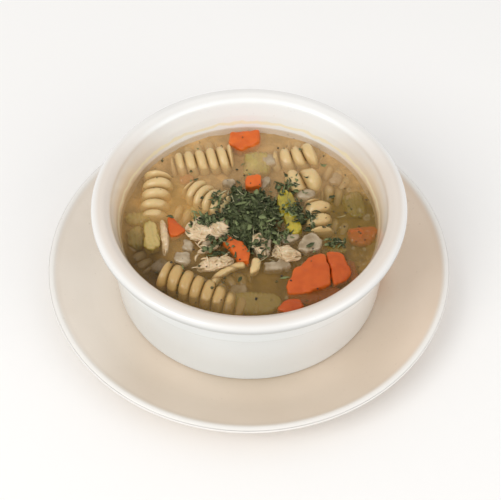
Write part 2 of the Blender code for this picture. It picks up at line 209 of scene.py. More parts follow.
def add_piece(name, points, faces, material, node=None, slot=None, marks=None):
    """Puts arrays of points and faces into a mesh, faces outwards, and says what it stands for.

    The signed volume, a sixth of the sum over triangles of a . (b x c), is negative when the faces
    point inwards, and then every face is turned round. marks holds one number per point under each
    attribute's name.
    """
    faces = [np.asarray(group) for group in faces if len(group)]
    fans = np.concatenate([group[:, [0, i, i + 1]] for group in faces for i in range(1, group.shape[1] - 1)])
    a, b, c = points[fans[:, 0]], points[fans[:, 1]], points[fans[:, 2]]
    if np.einsum("ij,ij->", a - points.mean(0), np.cross(b - a, c - a)) < 0:
        faces = [group[:, ::-1] for group in faces]
    mesh = bpy.data.meshes.new(name)
    mesh.from_pydata(points.tolist(), [], [face for group in faces for face in group.tolist()])
    for label, values in (marks or {}).items():
        attribute = mesh.attributes.new(label, "FLOAT", "POINT")
        attribute.data.foreach_set("value", np.asarray(values, np.float32))
    mesh.materials.append(material)
    mesh.shade_smooth()
    piece = bpy.data.objects.new(name, mesh)
    bpy.context.scene.collection.objects.link(piece)
    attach(piece, "root")
    if node:
        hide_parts(node)
    if slot:
        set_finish(piece, slot)
    return piece


def repeated(faces, count, points):
    """The faces of count copies of a form that has so many points."""
    shift = (np.arange(count) * points)[:, None, None]
    return [(group[None] + shift).reshape(-1, group.shape[1]) for group in faces]


def round_grid(rows, columns):
    """Quads between neighbouring rows of a grid whose columns close on themselves."""
    row, column = np.meshgrid(np.arange(rows - 1), np.arange(columns), indexing="ij")
    here = row * columns + column
    beside = row * columns + (column + 1) % columns
    return np.stack([here, beside, beside + columns, here + columns], -1).reshape(-1, 4)


def capped(rings):
    """Points and faces of a stack of closed rings, shape (rows, columns, 3), with a pole at each end."""
    rows, columns = rings.shape[:2]
    points = np.concatenate([rings.reshape(-1, 3), rings[:1].mean(1), rings[-1:].mean(1)])
    column = np.arange(columns)
    beside = (column + 1) % columns
    last = (rows - 1) * columns
    low = np.stack([beside, column, np.full(columns, rows * columns)], -1)
    high = np.stack([last + column, last + beside, np.full(columns, rows * columns + 1)], -1)
    return points, [round_grid(rows, columns), low, high]


def with_poles(values):
    """A (rows, columns) array of marks, flattened, with the two poles' own values after it."""
    return np.concatenate([values.ravel(), [values[0].mean(), values[-1].mean()]])


def waves(points, size, seed, count=7):
    """Smooth unevenness from -1 to 1: the mean of sines across random directions, size metres long."""
    rng = np.random.default_rng(seed)
    directions = rng.normal(size=(count, 3))
    directions /= np.linalg.norm(directions, axis=1, keepdims=True)
    lengths = size * rng.uniform(0.7, 1.6, count)
    phases = rng.uniform(0, 2 * np.pi, count)
    inner = points @ (directions / lengths[:, None]).T * 2 * np.pi + phases
    return np.sin(inner).mean(-1) * 1.6


def smoothstep(low, high, value):
    """0 below low, 1 above high, and 3 s ** 2 - 2 s ** 3 between them."""
    share = np.clip((value - low) / (high - low), 0, 1)
    return share * share * (3 - 2 * share)


def filleted(corners, spacing=2 * MM):
    """A profile through corners (radius, height, fillet), each corner rounded by an arc.

    The arc touches both sides at fillet / tan(half the corner's angle) from the corner, and the
    straight stretches are divided to the given spacing.
    """
    at = np.array([c[:2] for c in corners], float)
    kept = [at[:1]]
    for i in range(1, len(at) - 1):
        into, out = at[i - 1] - at[i], at[i + 1] - at[i]
        into, out = into / np.linalg.norm(into), out / np.linalg.norm(out)
        half = math.acos(np.clip(into @ out, -1, 1)) / 2
        if corners[i][2] == 0 or half > math.radians(89):
            kept.append(at[i : i + 1])
            continue
        reach = corners[i][2] / math.tan(half)
        bisector = (into + out) / np.linalg.norm(into + out)
        centre = at[i] + bisector * corners[i][2] / math.sin(half)
        first, last = at[i] + into * reach - centre, at[i] + out * reach - centre
        sweep = math.pi - 2 * half
        share = np.linspace(0, 1, max(4, math.ceil(math.degrees(sweep) / 9)))[:, None]
        weights = np.sin((1 - share) * sweep), np.sin(share * sweep)
        kept.append(centre + (first * weights[0] + last * weights[1]) / math.sin(sweep))
    path = np.concatenate(kept)
    pieces = [path[:1]]
    for low, high in zip(path, path[1:]):
        steps = max(1, round(np.linalg.norm(high - low) / spacing))
        pieces.append(low + (high - low) * np.linspace(0, 1, steps + 1)[1:, None])
    return np.concatenate(pieces)


def strewn(rows, rng):
    """Places in the plan, in metres, from rows of (how many, x, y, width, depth) in millimetres."""
    return np.concatenate([rng.normal(size=(n, 2)) * (w / 2, d / 2) + (x, y) for n, x, y, w, d in rows]) * MM


def turned(profile, steps):
    """Rings (r cos a, r sin a, z) of a profile, whose two ends lie on the axis."""
    inner = profile[1:-1]
    around = np.linspace(0, 2 * np.pi, steps, endpoint=False)
    rings = np.empty((len(inner), steps, 3))
    rings[..., 0] = inner[:, :1] * np.cos(around)
    rings[..., 1] = inner[:, :1] * np.sin(around)
    rings[..., 2] = inner[:, 1:]
    points, faces = capped(rings)
    points[-2, 2], points[-1, 2] = profile[0, 1], profile[-1, 1]
    return points, faces


def mesh_points(mesh):
    """A mesh's vertices as an array (points, 3)."""
    points = np.empty(len(mesh.vertices) * 3, np.float32)
    mesh.vertices.foreach_get("co", points)
    return points.reshape(-1, 3)


def node_triangles(name):
    """The triangles of a node as an array (triangles, 3 corners, 3)."""
    mesh = frame["nodes"][name].data
    mesh.calc_loop_triangles()
    corners = np.empty(len(mesh.loop_triangles) * 3, np.int32)
    mesh.loop_triangles.foreach_get("vertices", corners)
    return mesh_points(mesh)[corners].reshape(-1, 3, 3).astype(float)


def directions(line):
    """Sideways, up and along directions at each point of a line that isn't upright."""
    tangent = np.gradient(line, axis=0)
    tangent /= np.linalg.norm(tangent, axis=1, keepdims=True)
    side = np.cross(tangent, (0, 0, 1.0))
    side /= np.linalg.norm(side, axis=1, keepdims=True)
    return side, np.cross(side, tangent), tangent


def bent_line(start, end, bow, rows):
    """Points on the quadratic from start to end that bulges by bow at its middle, in millimetres."""
    share = np.linspace(0, 1, rows)[:, None]
    start, end, bow = (np.array(v) * MM for v in (start, end, bow))
    return start + (end - start) * share + 4 * bow * share * (1 - share) + (0, 0, LEVEL)


def middle_line(name, rows):
    """A node's middle line: rows of points and their sideways, up and along directions.

    The long direction is the first principal axis of the node's points. Across it, the line is the
    quadratic that fits the points best.
    """
    points = node_triangles(name).reshape(-1, 3)
    points = np.unique(points.round(7), axis=0)
    middle = points.mean(0)
    spread = np.linalg.eigh(np.cov((points - middle).T))[1]
    along = spread[:, 2]
    along = along * np.sign(along[np.abs(along).argmax()])
    place = (points - middle) @ along
    place_rows = np.linspace(place.min(), place.max(), rows)
    fits = [np.polyval(np.polyfit(place, points[:, i], 2), place_rows) for i in range(3)]
    line = np.stack(fits, -1)
    side, up, tangent = directions(line)
    across = points - middle - place[:, None] * along
    half_width = np.abs(across @ side[rows // 2]).max()
    half_height = np.abs(across @ up[rows // 2]).max()
    return line, side, up, tangent, half_width, half_height


def cut_section(name, columns):
    """A cut piece's own frame and outline: (middle, axes, outline radius, bottom, top).

    Up is the mean of the faces that look up. The outline is where rays from the middle, in the
    plane at half height, last meet the node's triangles.
    """
    corners = node_triangles(name)
    normals = np.cross(corners[:, 1] - corners[:, 0], corners[:, 2] - corners[:, 0])
    upward = normals[:, 2] > 0.85 * np.linalg.norm(normals, axis=1)
    up = normals[upward].sum(0)
    up /= np.linalg.norm(up)
    right = np.cross((0, 1.0, 0), up)
    right /= np.linalg.norm(right)
    axes = np.stack([right, np.cross(up, right), up])
    middle = corners.reshape(-1, 3).mean(0)
    local = (corners - middle) @ axes.T
    bottom, top = local[..., 2].min(), local[..., 2].max()
    height = local[..., 2] - (bottom + top) / 2
    ends = []
    for i, j in ((0, 1), (1, 2), (2, 0)):
        crosses = height[:, i] * height[:, j] < 0
        share = height[:, i] / np.where(crosses, height[:, i] - height[:, j], 1)
        at = local[:, i] + share[:, None] * (local[:, j] - local[:, i])
        ends.append(np.where(crosses[:, None], at, np.nan))
    ends = np.stack(ends, 1)[..., :2]
    cut = (~np.isnan(ends[..., 0])).sum(1) == 2
    pairs = ends[cut][~np.isnan(ends[cut][..., 0])].reshape(-1, 2, 2)
    weights = np.linalg.norm(pairs[:, 1] - pairs[:, 0], axis=1)
    offset = (pairs.mean(1) * weights[:, None]).sum(0) / weights.sum()
    pairs = pairs - offset
    middle = middle + offset @ axes[:2]
    angles = np.linspace(0, 2 * np.pi, columns, endpoint=False)
    rays = np.stack([np.cos(angles), np.sin(angles)], -1)
    first, span = pairs[:, 0], pairs[:, 1] - pairs[:, 0]
    turn = rays[:, None, 0] * span[None, :, 1] - rays[:, None, 1] * span[None, :, 0]
    turn = np.where(np.abs(turn) < 1e-12, 1e-12, turn)
    reach = (first[:, 0] * span[:, 1] - first[:, 1] * span[:, 0])[None] / turn
    share = (first[None, :, 0] * rays[:, None, 1] - first[None, :, 1] * rays[:, None, 0]) / turn
    hit = (share > -0.02) & (share < 1.02) & (reach > 0)
    outline = np.where(hit, reach, 0).max(1)
    outline = np.where(outline > 0, outline, np.median(outline))
    return middle, axes, outline, bottom, top


def blur(values, width):
    """A closed ring of values, averaged over a window with soft ends."""
    window = np.hanning(width + 2)[1:-1]
    padded = np.concatenate([values[-width:], values, values[:width]])
    return np.convolve(padded, window / window.sum(), "same")[width:-width]


def block_section(place, size, heading, tilt=0.0, corner=2.5, seed=0, columns=84):
    """The same five values as cut_section for a loose block that has no node of its own.

    place is its top's middle and size its length, width and height, in millimetres. The outline is
    the superellipse (|cos a / length| ** n + |sin a / width| ** n) ** (-1 / n) with slow waves.
    """
    angles = np.linspace(0, 2 * np.pi, columns, endpoint=False)
    length, width, height = (value * MM / 2 for value in size)
    outline = np.abs(np.cos(angles) / length) ** corner + np.abs(np.sin(angles) / width) ** corner
    outline **= -1 / corner
    outline *= 1 + 0.07 * np.sin(2 * angles + seed) + 0.06 * np.sin(3 * angles + 2.3 * seed)
    turn, lean = math.radians(heading), math.radians(tilt)
    right = np.array([math.cos(turn) * math.cos(lean), math.sin(turn) * math.cos(lean), math.sin(lean)])
    across = np.array([-math.sin(turn), math.cos(turn), 0.0])
    axes = np.stack([right, across, np.cross(right, across)])
    middle = np.array([place[0] * MM, place[1] * MM, LEVEL + place[2] * MM - height])
    return middle, axes, outline, -height, height


def cut_form(section, edge=0.8 * MM, crown=0.0, uneven=0.22 * MM, ribs=None, seed=0, sink=0.0):
    """A cut piece of vegetable: an outline with rounded edges, a crown, waves and ribs.

    Row by row from the bottom's middle to the top's middle, the radius is the outline less
    edge (1 - sin t) and the height turns through edge (1 - cos t) at both rims. ribs is (spacing,
    depth, angle): ridges that run the length of the piece on every face. Returns points, faces and
    each point's share of the outline.
    """
    middle, axes, outline, bottom, top = section
    outline = blur(outline, 5)
    angles = np.linspace(0, 2 * np.pi, len(outline), endpoint=False)
    inner = np.array([0.12, 0.28, 0.45, 0.62, 0.78, 0.9, 0.98])
    curve = np.radians(np.linspace(0, 90, 6))
    rise = np.linspace(bottom + edge, top - edge, 7)[1:-1]
    level, half = np.ones(len(inner)), len(inner) + len(curve)
    inset = np.concatenate([level * edge, edge * (1 - np.sin(curve)), rise * 0])
    scale = np.concatenate([inner, np.ones(len(curve) + len(rise))])
    height = np.concatenate([level * bottom, bottom + edge * (1 - np.cos(curve)), rise])
    inset = np.concatenate([inset, inset[:half][::-1]])
    scale = np.concatenate([scale, scale[:half][::-1]])
    height = np.concatenate([height, (bottom + top) - height[:half][::-1]])
    radius = np.maximum(outline[None] - inset[:, None], 0.2 * MM) * scale[:, None]
    flat = np.stack([radius * np.cos(angles), radius * np.sin(angles)], -1)
    lift = np.broadcast_to(height[:, None], radius.shape).copy()
    share = radius / outline[None]
    above = smoothstep(bottom, top, lift)
    lift += crown * (1 - share**2) * above
    if ribs:
        spacing, depth, angle = ribs
        across = flat[..., 0] * math.cos(angle) + flat[..., 1] * math.sin(angle)
        ridge = depth * np.abs(np.cos(np.pi * across / spacing)) * (0.6 + 0.4 * share)
        lift += ridge * above
        flat *= 1 + (ridge / outline[None] * 0.6)[..., None]
    local = np.concatenate([flat, lift[..., None]], -1)
    slow, quick = waves(local + seed, 5.5 * MM, seed), waves(local + seed, 1.9 * MM, seed + 1)
    rough = slow * uneven + quick * uneven * 0.45
    local[..., :2] *= 1 + (rough / np.maximum(outline[None], 1 * MM) * 1.4)[..., None]
    local[..., 2] += rough * (above - 0.3)
    rings = local @ axes + middle
    rings[..., 2] -= sink
    points, faces = capped(rings)
    return points, faces, with_poles(share)


def add_cut_piece(node, material, slot, tone=0.5, grow=1.0, **form):
    """A cut piece in place of its node, its outline times grow."""
    middle, axes, outline, bottom, top = cut_section(node, 132)
    points, faces, rim = cut_form((middle, axes, outline * grow, bottom, top), **form)
    marks = {"tone": np.full(len(points), tone), "rim": rim}
    return add_piece(node, points, faces, material, node, slot, marks)


def joined(forms):
    """Several (points, faces, mark) as one: all points, all faces moved to them, all marks."""
    points, marks, quads, fans, start = [], [], [], [], 0
    for form_points, faces, mark in forms:
        points.append(form_points)
        marks.append(mark)
        quads.append(faces[0] + start)
        fans.extend(group + start for group in faces[1:])
        start += len(form_points)
    return np.concatenate(points), [np.concatenate(quads), np.concatenate(fans)], np.concatenate(marks)


def corkscrew(line, side, up, radius, spacing, groove, start, fullness, seed, blunt=1.2 * MM, columns=96):
    """Rings of a finned corkscrew along a line, and each point's height between groove and crest.

    With p = fins a + 2 pi s / spacing - start wrapped to -pi..pi, the radius is the crest less
    groove (1 - (1 - |p / pi| ** n) ** (1 / n)), so the fins are full and the grooves narrow.
    Both ends close through a rounded taper, and slow waves make the fins uneven.
    """
    fins = bpy.context.scene.soup_pasta.fins
    length = np.concatenate([[0], np.cumsum(np.linalg.norm(np.diff(line, axis=0), axis=1))])
    around = np.linspace(0, 2 * np.pi, columns, endpoint=False)
    phase = fins * around[None] - start + 2 * np.pi * length[:, None] / spacing
    wobble = waves(line + seed, 9 * MM, seed + 5)[:, None] * 0.35
    wrapped = np.mod(phase + wobble + np.pi, 2 * np.pi) - np.pi
    share = (1 - np.abs(wrapped / np.pi) ** fullness) ** (1 / fullness)
    ends = np.minimum(length, length[-1] - length)
    taper = np.sqrt(np.clip(1 - (1 - np.clip(ends / blunt, 0, 1)) ** 2, 0.015, 1))
    width = radius - groove * (1 - share)
    width = width * taper[:, None]
    ring = np.cos(around)[:, None] * side[:, None] + np.sin(around)[:, None] * up[:, None]
    rings = line[:, None] + width[..., None] * ring
    swell = waves(rings + seed, 7 * MM, seed) * 0.28 * MM + waves(rings, 2.6 * MM, seed + 1) * 0.09 * MM
    rings = rings + (swell * taper[:, None])[..., None] * ring
    return rings, share


def add_noodle(name, material, start, fullness, sink=(0, 0), pitch=1.0, groove=1.0, soak=0.0, **form):
    """A corkscrew noodle along its node's middle line, its two ends sunk by their own millimetres.

    pitch and groove are shares of the usual spacing and groove, and soak, from 0 to 1, turns it golden.
    """
    props = bpy.context.scene.soup_pasta
    line, side, up, _, half_width, _ = middle_line(name, 220)
    share = np.linspace(0, 1, len(line))
    line[:, 2] -= (sink[0] * (1 - share) ** 2 + sink[1] * share**2) * MM
    spacing, depth, turn = props.spacing * pitch, props.groove * groove, math.radians(start)
    rings, crest = corkscrew(line, side, up, half_width, spacing, depth, turn, fullness, **form)
    points, faces = capped(rings)
    marks = {"crest": with_poles(crest), "soak": np.full(len(points), soak)}
    return add_piece(name, points, faces, material, name, "pasta", marks)


def add_shred(name, material, seed, fibres=11, lift=0.0, fatten=1.0, shade=1.0):
    """A pulled shred of chicken along its node: a lumpy bar with fibres that run its length.

    The radius swells from both ends by sin ** 0.5, uneven lumps push it in and out, each fibre is a
    ridge |cos| round the section that drifts as it runs, and the ends are torn into points.
    """
    rows, columns = 96, 110
    line, side, up, tangent, half_width, half_height = middle_line(name, rows)
    share = np.linspace(0, 1, rows)[:, None]
    around = np.linspace(0, 2 * np.pi, columns, endpoint=False)[None]
    swell = 0.42 + 0.58 * np.sin(np.pi * np.clip(share, 0.02, 0.98)) ** 0.5
    taper = np.sqrt(np.clip(np.minimum(share, 1 - share) / 0.05, 0.01, 1))
    base = line[:, None] + half_width * np.cos(around)[..., None] * side[:, None]
    base = base + half_height * np.sin(around)[..., None] * up[:, None]
    clump = waves(base + seed, 6.5 * MM, seed + 2) * 0.16 + waves(base - seed, 3.2 * MM, seed + 3) * 0.10
    drift = 1.1 * np.sin(5 * share + seed) + 1.6 * share + 0.8 * waves(base, 5 * MM, seed + 4)
    ridge = np.abs(np.cos(fibres / 2 * (around + 0.35 * drift)))
    strength = 0.05 + 0.06 * (0.5 + 0.5 * waves(base, 4 * MM, seed + 6))
    body = swell * taper * (0.92 + clump + strength * (ridge - 0.5)) * fatten
    wide, high = half_width * body * np.cos(around), half_height * body * np.sin(around)
    rings = line[:, None] + wide[..., None] * side[:, None] + high[..., None] * up[:, None]
    near_end = smoothstep(0.14, 0.0, np.minimum(share, 1 - share)) * np.sign(share - 0.5)
    torn = (np.sin(fibres * 0.5 * around + seed) + 0.6 * np.sin(3 * around + 2 * seed)) * near_end
    rings = rings + (torn * 0.9 * MM)[..., None] * tangent[:, None]
    fine = waves(rings, 1.5 * MM, seed) * 0.15 * MM + waves(rings, 0.9 * MM, seed + 7) * 0.07 * MM
    rings = rings + (fine * taper)[..., None] * (rings - line[:, None]) / np.maximum(half_width, half_height)
    rings[..., 2] += lift
    points, faces = capped(rings)
    # The fibre mark times shade: shade below 1 darkens the whole shred toward the deep colour, as painted
    # shade.
    marks = {"fibre": with_poles(np.clip(ridge * 0.6 + 0.5 + clump * 1.2, 0, 1)) * shade}
    return add_piece(name, points, faces, material, name, "chicken", marks)


def threads(starts, headings, lengths, thickness, bows, seed, rows=9, columns=6):
    """Points, faces and marks of many loose fibres: tubes that bend as 4 bow u (1 - u) and taper."""
    share = np.linspace(0, 1, rows)
    ahead = np.stack([np.cos(headings), np.sin(headings), np.zeros_like(headings)], -1)
    across = np.stack([-np.sin(headings), np.cos(headings), np.zeros_like(headings)], -1)
    line = starts[:, None] + ahead[:, None] * (lengths[:, None] * (share - 0.5))[..., None]
    line = line + across[:, None] * (bows[:, None] * 4 * share * (1 - share))[..., None]
    line[..., 2] += waves(line, 5 * MM, seed) * 0.35 * MM
    around = np.linspace(0, 2 * np.pi, columns, endpoint=False)
    width = thickness[:, None] * (0.35 + 0.65 * np.sin(np.pi * share) ** 0.5)
    upward = np.array([0, 0, 1.0])
    ring = across[:, None] * np.cos(around)[None, :, None] + upward * np.sin(around)[None, :, None]
    rings = line[:, :, None] + width[..., None, None] * ring[:, None]
    forms = [capped(rings[i]) for i in range(len(rings))]
    return joined([(points, faces, np.full(len(points), 0.8)) for points, faces in forms])


def flakes(centres, lengths, widths, normals, headings, curls, rng):
    """Points and faces of many small curled leaf shreds.

    Each shred is a lens of five stations along a curled line: at station u its half width is
    width sin(pi u) ** 0.6 / 2, its middle lies off the flat by a share of curl length (u - 1/2) ** 2,
    and its four corners are left, above, right and below. A point closes it at each end.
    """
    stations = np.linspace(0.08, 0.92, FLAKE_STATIONS)
    reach = stations - 0.5
    across = np.cross(normals, headings)
    across /= np.linalg.norm(across, axis=1, keepdims=True)
    ahead = np.cross(across, normals)
    bend = rng.uniform(-0.5, 0.5, (len(centres), 1))
    off = curls[:, None] * (reach[None] ** 2 - 0.08) * lengths[:, None] * 2.4
    sway = bend * (reach[None] ** 2) * lengths[:, None]
    spine = (
        centres[:, None]
        + (reach[None] * lengths[:, None])[..., None] * ahead[:, None]
        + off[..., None] * normals[:, None]
        + sway[..., None] * across[:, None]
    )
    jag = rng.uniform(0.65, 1.25, (len(centres), FLAKE_STATIONS, 2))
    half = widths[:, None] * np.sin(np.pi * stations)[None] ** 0.6 / 2
    sideways, upright = across[:, None], normals[:, None]
    left = spine + (half * jag[..., 0])[..., None] * sideways + (half * 0.5)[..., None] * upright
    right = spine - (half * jag[..., 1])[..., None] * sideways + (half * 0.4)[..., None] * upright
    thick = 0.09 * MM
    above, below = spine + thick * upright, spine - thick * upright
    rings = np.stack([left, above, right, below], 2)
    tips = spine[:, [0, -1]] + 0.45 * (spine[:, [0, -1]] - spine[:, [1, -2]])
    points = np.concatenate([rings.reshape(len(centres), -1, 3), tips], 1)
    ring = np.arange(FLAKE_CORNERS)
    beside = (ring + 1) % FLAKE_CORNERS
    last = FLAKE_POINTS - 2 - FLAKE_CORNERS
    low = np.stack([beside, ring, np.full(FLAKE_CORNERS, FLAKE_POINTS - 2)], -1)
    high = np.stack([last + ring, last + beside, np.full(FLAKE_CORNERS, FLAKE_POINTS - 1)], -1)
    grid = round_grid(FLAKE_STATIONS, FLAKE_CORNERS)
    faces = repeated([grid, np.concatenate([low, high])], len(centres), FLAKE_POINTS)
    return points.reshape(-1, 3), faces


def specks(centres, sizes, rng, flatten=1.0):
    """Points and faces of many uneven grains: each has two rings of five points and two tips."""
    around = np.linspace(0, 2 * np.pi, 5, endpoint=False)
    low = np.stack([np.cos(around), np.sin(around), np.full(5, -0.4)], -1)
    high = np.stack([np.cos(around + 0.6), np.sin(around + 0.6), np.full(5, 0.4)], -1)
    shape = np.concatenate([low, high, [[0, 0, -0.9], [0, 0, 0.9]]])
    shape = shape[None] * rng.uniform(0.62, 1.2, (len(centres), 12, 1))
    shape = shape * rng.uniform(0.6, 1.25, (len(centres), 1, 3)) * (1, 1, flatten)
    points = centres[:, None] + shape * sizes[:, None, None]
    ring = np.arange(5)
    beside = (ring + 1) % 5
    faces = np.concatenate(
        [
            np.stack([ring, beside, 5 + ring], -1),
            np.stack([beside, 5 + beside, 5 + ring], -1),
            np.stack([beside, ring, np.full(5, 10)], -1),
            np.stack([5 + ring, 5 + beside, np.full(5, 11)], -1),
        ]
    )
    return points.reshape(-1, 3), repeated([faces], len(centres), len(shape[0]))


def in_disc(count, radius, rng):
    """Even random places in a disc."""
    angle, reach = rng.uniform(0, 2 * np.pi, count), radius * np.sqrt(rng.uniform(0, 1, count))
    return np.stack([reach * np.cos(angle), reach * np.sin(angle)], -1)


def surface_height(places, reach=0.9 * MM, leave_out=(), slots=SOLID_SLOTS):
    """The height of the highest soup piece near each place, or else the broth's level."""
    clouds = []
    for piece in bpy.data.objects:
        if piece.get("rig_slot") not in slots or piece.name in leave_out:
            continue
        points = mesh_points(piece.data)
        clouds.append(points[points[:, 2] > LEVEL - 0.2 * MM])
    cloud = np.concatenate(clouds)
    found = np.full(len(places), LEVEL + 0.1 * MM)
    for start in range(0, len(places), 60):
        part = places[start : start + 60]
        near = ((part[:, None] - cloud[None, :, :2]) ** 2).sum(-1) < reach**2
        highest = np.where(near, cloud[None, :, 2], 0).max(1)
        found[start : start + 60] = np.maximum(found[start : start + 60], highest)
    return found


# Materials ------------------------------------------------------------------------------------


def wire(tree, kind, inputs=None, **settings):
    """Adds a node, sets its options, and links or fills the inputs named."""
    made = tree.nodes.new(kind)
    for name, value in settings.items():
        setattr(made, name, value)
    for name, value in (inputs or {}).items():
        socket = made.inputs[name]
        if isinstance(value, bpy.types.NodeSocket):
            tree.links.new(value, socket)
        else:
            socket.default_value = value
    return made


def mixed(tree, factor, first, second, mode="MIX"):
    """A colour between two colours."""
    made = tree.nodes.new("ShaderNodeMix")
    made.data_type = "RGBA"
    made.blend_type = mode
    for index, value in ((0, factor), (6, first), (7, second)):
        socket = made.inputs[index]
        if isinstance(value, bpy.types.NodeSocket):
            tree.links.new(value, socket)
        elif index:
            socket.default_value = (*value[:3], 1.0)
        else:
            socket.default_value = value
    return made.outputs[2]


def sums(tree, operation, first, second=0.0):
    """The result of a sum on one or two values."""
    return wire(tree, "ShaderNodeMath", {0: first, 1: second}, operation=operation).outputs[0]


def product(tree, *values):
    """The values multiplied together."""
    total = values[0]
    for value in values[1:]:
        total = sums(tree, "MULTIPLY", total, value)
    return total


def tinted(tree, tone, factors):
    """A colour times plain factors."""
    return mixed(tree, 1.0, tone, factors, "MULTIPLY")


def scaled(colour, factors):
    """A plain colour times plain factors."""
    return [c * f for c, f in zip(colour, factors)]


def ranged(tree, value, low, high, to_low=0.0, to_high=1.0, soft=True):
    """A value moved from one range to another, held inside it."""
    kind = "SMOOTHSTEP" if soft else "LINEAR"
    made = wire(
        tree,
        "ShaderNodeMapRange",
        {"Value": value, "From Min": low, "From Max": high, "To Min": to_low, "To Max": to_high},
        interpolation_type=kind,
    )
    return made.outputs["Result"]


def noise(tree, coords, scale, detail=3.0, rough=0.5, output="Fac"):
    """Smooth noise, scale lumps to the metre."""
    made = wire(
        tree,
        "ShaderNodeTexNoise",
        {"Vector": coords, "Scale": scale, "Detail": detail, "Roughness": rough},
    )
    return made.outputs[output]


def near_point(tree, coords, point, near, far):
    """1 within near of a point, falling to 0 at far."""
    away = wire(tree, "ShaderNodeVectorMath", {0: coords, 1: point}, operation="DISTANCE")
    return ranged(tree, away.outputs["Value"], near, far, 1.0, 0.0)


def line_at(tree, value, at):
    """1 within 0.3 mm of a value, falling to 0 at 1.1 mm."""
    away = sums(tree, "ABSOLUTE", sums(tree, "SUBTRACT", value, at))
    return ranged(tree, away, 1.1 * MM, 0.3 * MM)


def place_of(tree, coords):
    """X, Y and Z of a point and its distance from the upright axis."""
    place = wire(tree, "ShaderNodeSeparateXYZ", {0: coords}).outputs
    flat = wire(tree, "ShaderNodeCombineXYZ", {"X": place["X"], "Y": place["Y"]})
    reach = wire(tree, "ShaderNodeVectorMath", {0: flat.outputs[0]}, operation="LENGTH")
    return place["X"], place["Y"], place["Z"], reach.outputs["Value"]


def object_coords(tree):
    """Coordinates that stay with the piece."""
    return tree.nodes.new("ShaderNodeTexCoord").outputs["Object"]


def new_group(name, inputs, outputs):
    """A shader node group with typed sockets: returns its tree, input node and output node."""
    tree = bpy.data.node_groups.new(name, "ShaderNodeTree")
    for label, kind in inputs:
        tree.interface.new_socket(label, in_out="INPUT", socket_type=kind)
    for label, kind in outputs:
        tree.interface.new_socket(label, in_out="OUTPUT", socket_type=kind)
    return tree, tree.nodes.new("NodeGroupInput"), tree.nodes.new("NodeGroupOutput")


def broth_tone_group():
    """The broth's colour: golden left, a paler back that is a painted reflection of the bright surround,
    olive right, dark at both front corners.
    """
    if "broth_tone" in bpy.data.node_groups:
        return bpy.data.node_groups["broth_tone"]
    props = bpy.context.scene.soup_broth
    tree, _, out = new_group("broth_tone", [], [("Color", "NodeSocketColor")])
    coords = object_coords(tree)
    stir = wire(
        tree,
        "ShaderNodeVectorMath",
        {0: noise(tree, coords, 55.0, 2.0, output="Color"), 1: (0.5, 0.5, 0.5)},
        operation="SUBTRACT",
    ).outputs["Vector"]
    stirred = wire(
        tree, "ShaderNodeVectorMath", {0: stir, 1: (0.028, 0.028, 0.0), 2: coords}, operation="MULTIPLY_ADD"
    ).outputs["Vector"]
    place = wire(tree, "ShaderNodeSeparateXYZ", {0: stirred})
    # From the front to a paler back: the paler back is a painted reflection of the bright surround.
    tone = mixed(tree, ranged(tree, place.outputs["Y"], -0.032, 0.038), props.front, props.back)
    golden = near_point(tree, stirred, (-0.034, 0.004, LEVEL), 0.006, 0.030)
    tone = mixed(tree, golden, tone, props.left)
    olive = near_point(tree, stirred, (0.045, 0.004, LEVEL), 0.008, 0.027)
    tone = mixed(tree, olive, tone, props.right)
    dark = near_point(tree, stirred, (-0.044, -0.026, LEVEL), 0.006, 0.025)
    tone = mixed(tree, dark, tone, props.dark)
    dark_front = near_point(tree, stirred, (0.036, -0.040, LEVEL), 0.004, 0.018)
    tone = mixed(tree, product(tree, dark_front, 0.7), tone, props.dark)
    tree.links.new(tone, out.inputs["Color"])
    return tree


def murk_group():
    """Blends a piece's colour into the broth's with its depth under the surface."""
    if "murk" in bpy.data.node_groups:
        return bpy.data.node_groups["murk"]
    tree, into, out = new_group(
        "murk",
        [("Color", "NodeSocketColor"), ("Clear depth", "NodeSocketFloat")],
        [("Color", "NodeSocketColor")],
    )
    height = wire(tree, "ShaderNodeSeparateXYZ", {0: object_coords(tree)}).outputs["Z"]
    depth = sums(tree, "SUBTRACT", LEVEL + 0.1 * MM, height)
    share = sums(tree, "DIVIDE", depth, into.outputs["Clear depth"])
    share = ranged(tree, share, 0.0, 1.0, 0.0, 0.97, soft=False)
    tone = wire(tree, "ShaderNodeGroup", node_tree=broth_tone_group()).outputs["Color"]
    tree.links.new(mixed(tree, share, into.outputs["Color"], tone), out.inputs["Color"])
    return tree


def finish(tree, shader, colour, height=None, strength=0.4, distance=0.3 * MM, murk=4.0 * MM):
    """Links a colour, under the broth's murk if murk has a depth, and a bump height to the shader."""
    if murk:
        group = wire(tree, "ShaderNodeGroup", node_tree=murk_group())
        tree.links.new(colour, group.inputs["Color"])
        group.inputs["Clear depth"].default_value = murk
        colour = group.outputs["Color"]
    tree.links.new(colour, shader.inputs["Base Color"])
    if height is not None:
        bump = wire(tree, "ShaderNodeBump", {"Strength": strength, "Distance": distance, "Height": height})
        tree.links.new(bump.outputs["Normal"], shader.inputs["Normal"])


def new_material(name, roughness, **sockets):
    """A Principled BSDF with plain values on its own sockets: returns (material, tree, shader, coords)."""
    made = bpy.data.materials.new(name)
    made.use_nodes = True
    tree = made.node_tree
    shader = tree.nodes["Principled BSDF"]
    shader.inputs["Roughness"].default_value = roughness
    for label, value in sockets.items():
        shader.inputs[label.replace("_", " ").title().replace("Ior", "IOR")].default_value = value
    return made, tree, shader, object_coords(tree)


def let_light_in(shader, weight, scale):
    """Sets how much light a food lets in, and how far."""
    shader.inputs["Subsurface Weight"].default_value = weight
    shader.inputs["Subsurface Scale"].default_value = scale


def attribute(tree, name):
    """The value that a piece carries under a name."""
    return wire(tree, "ShaderNodeAttribute", attribute_name=name).outputs["Fac"]


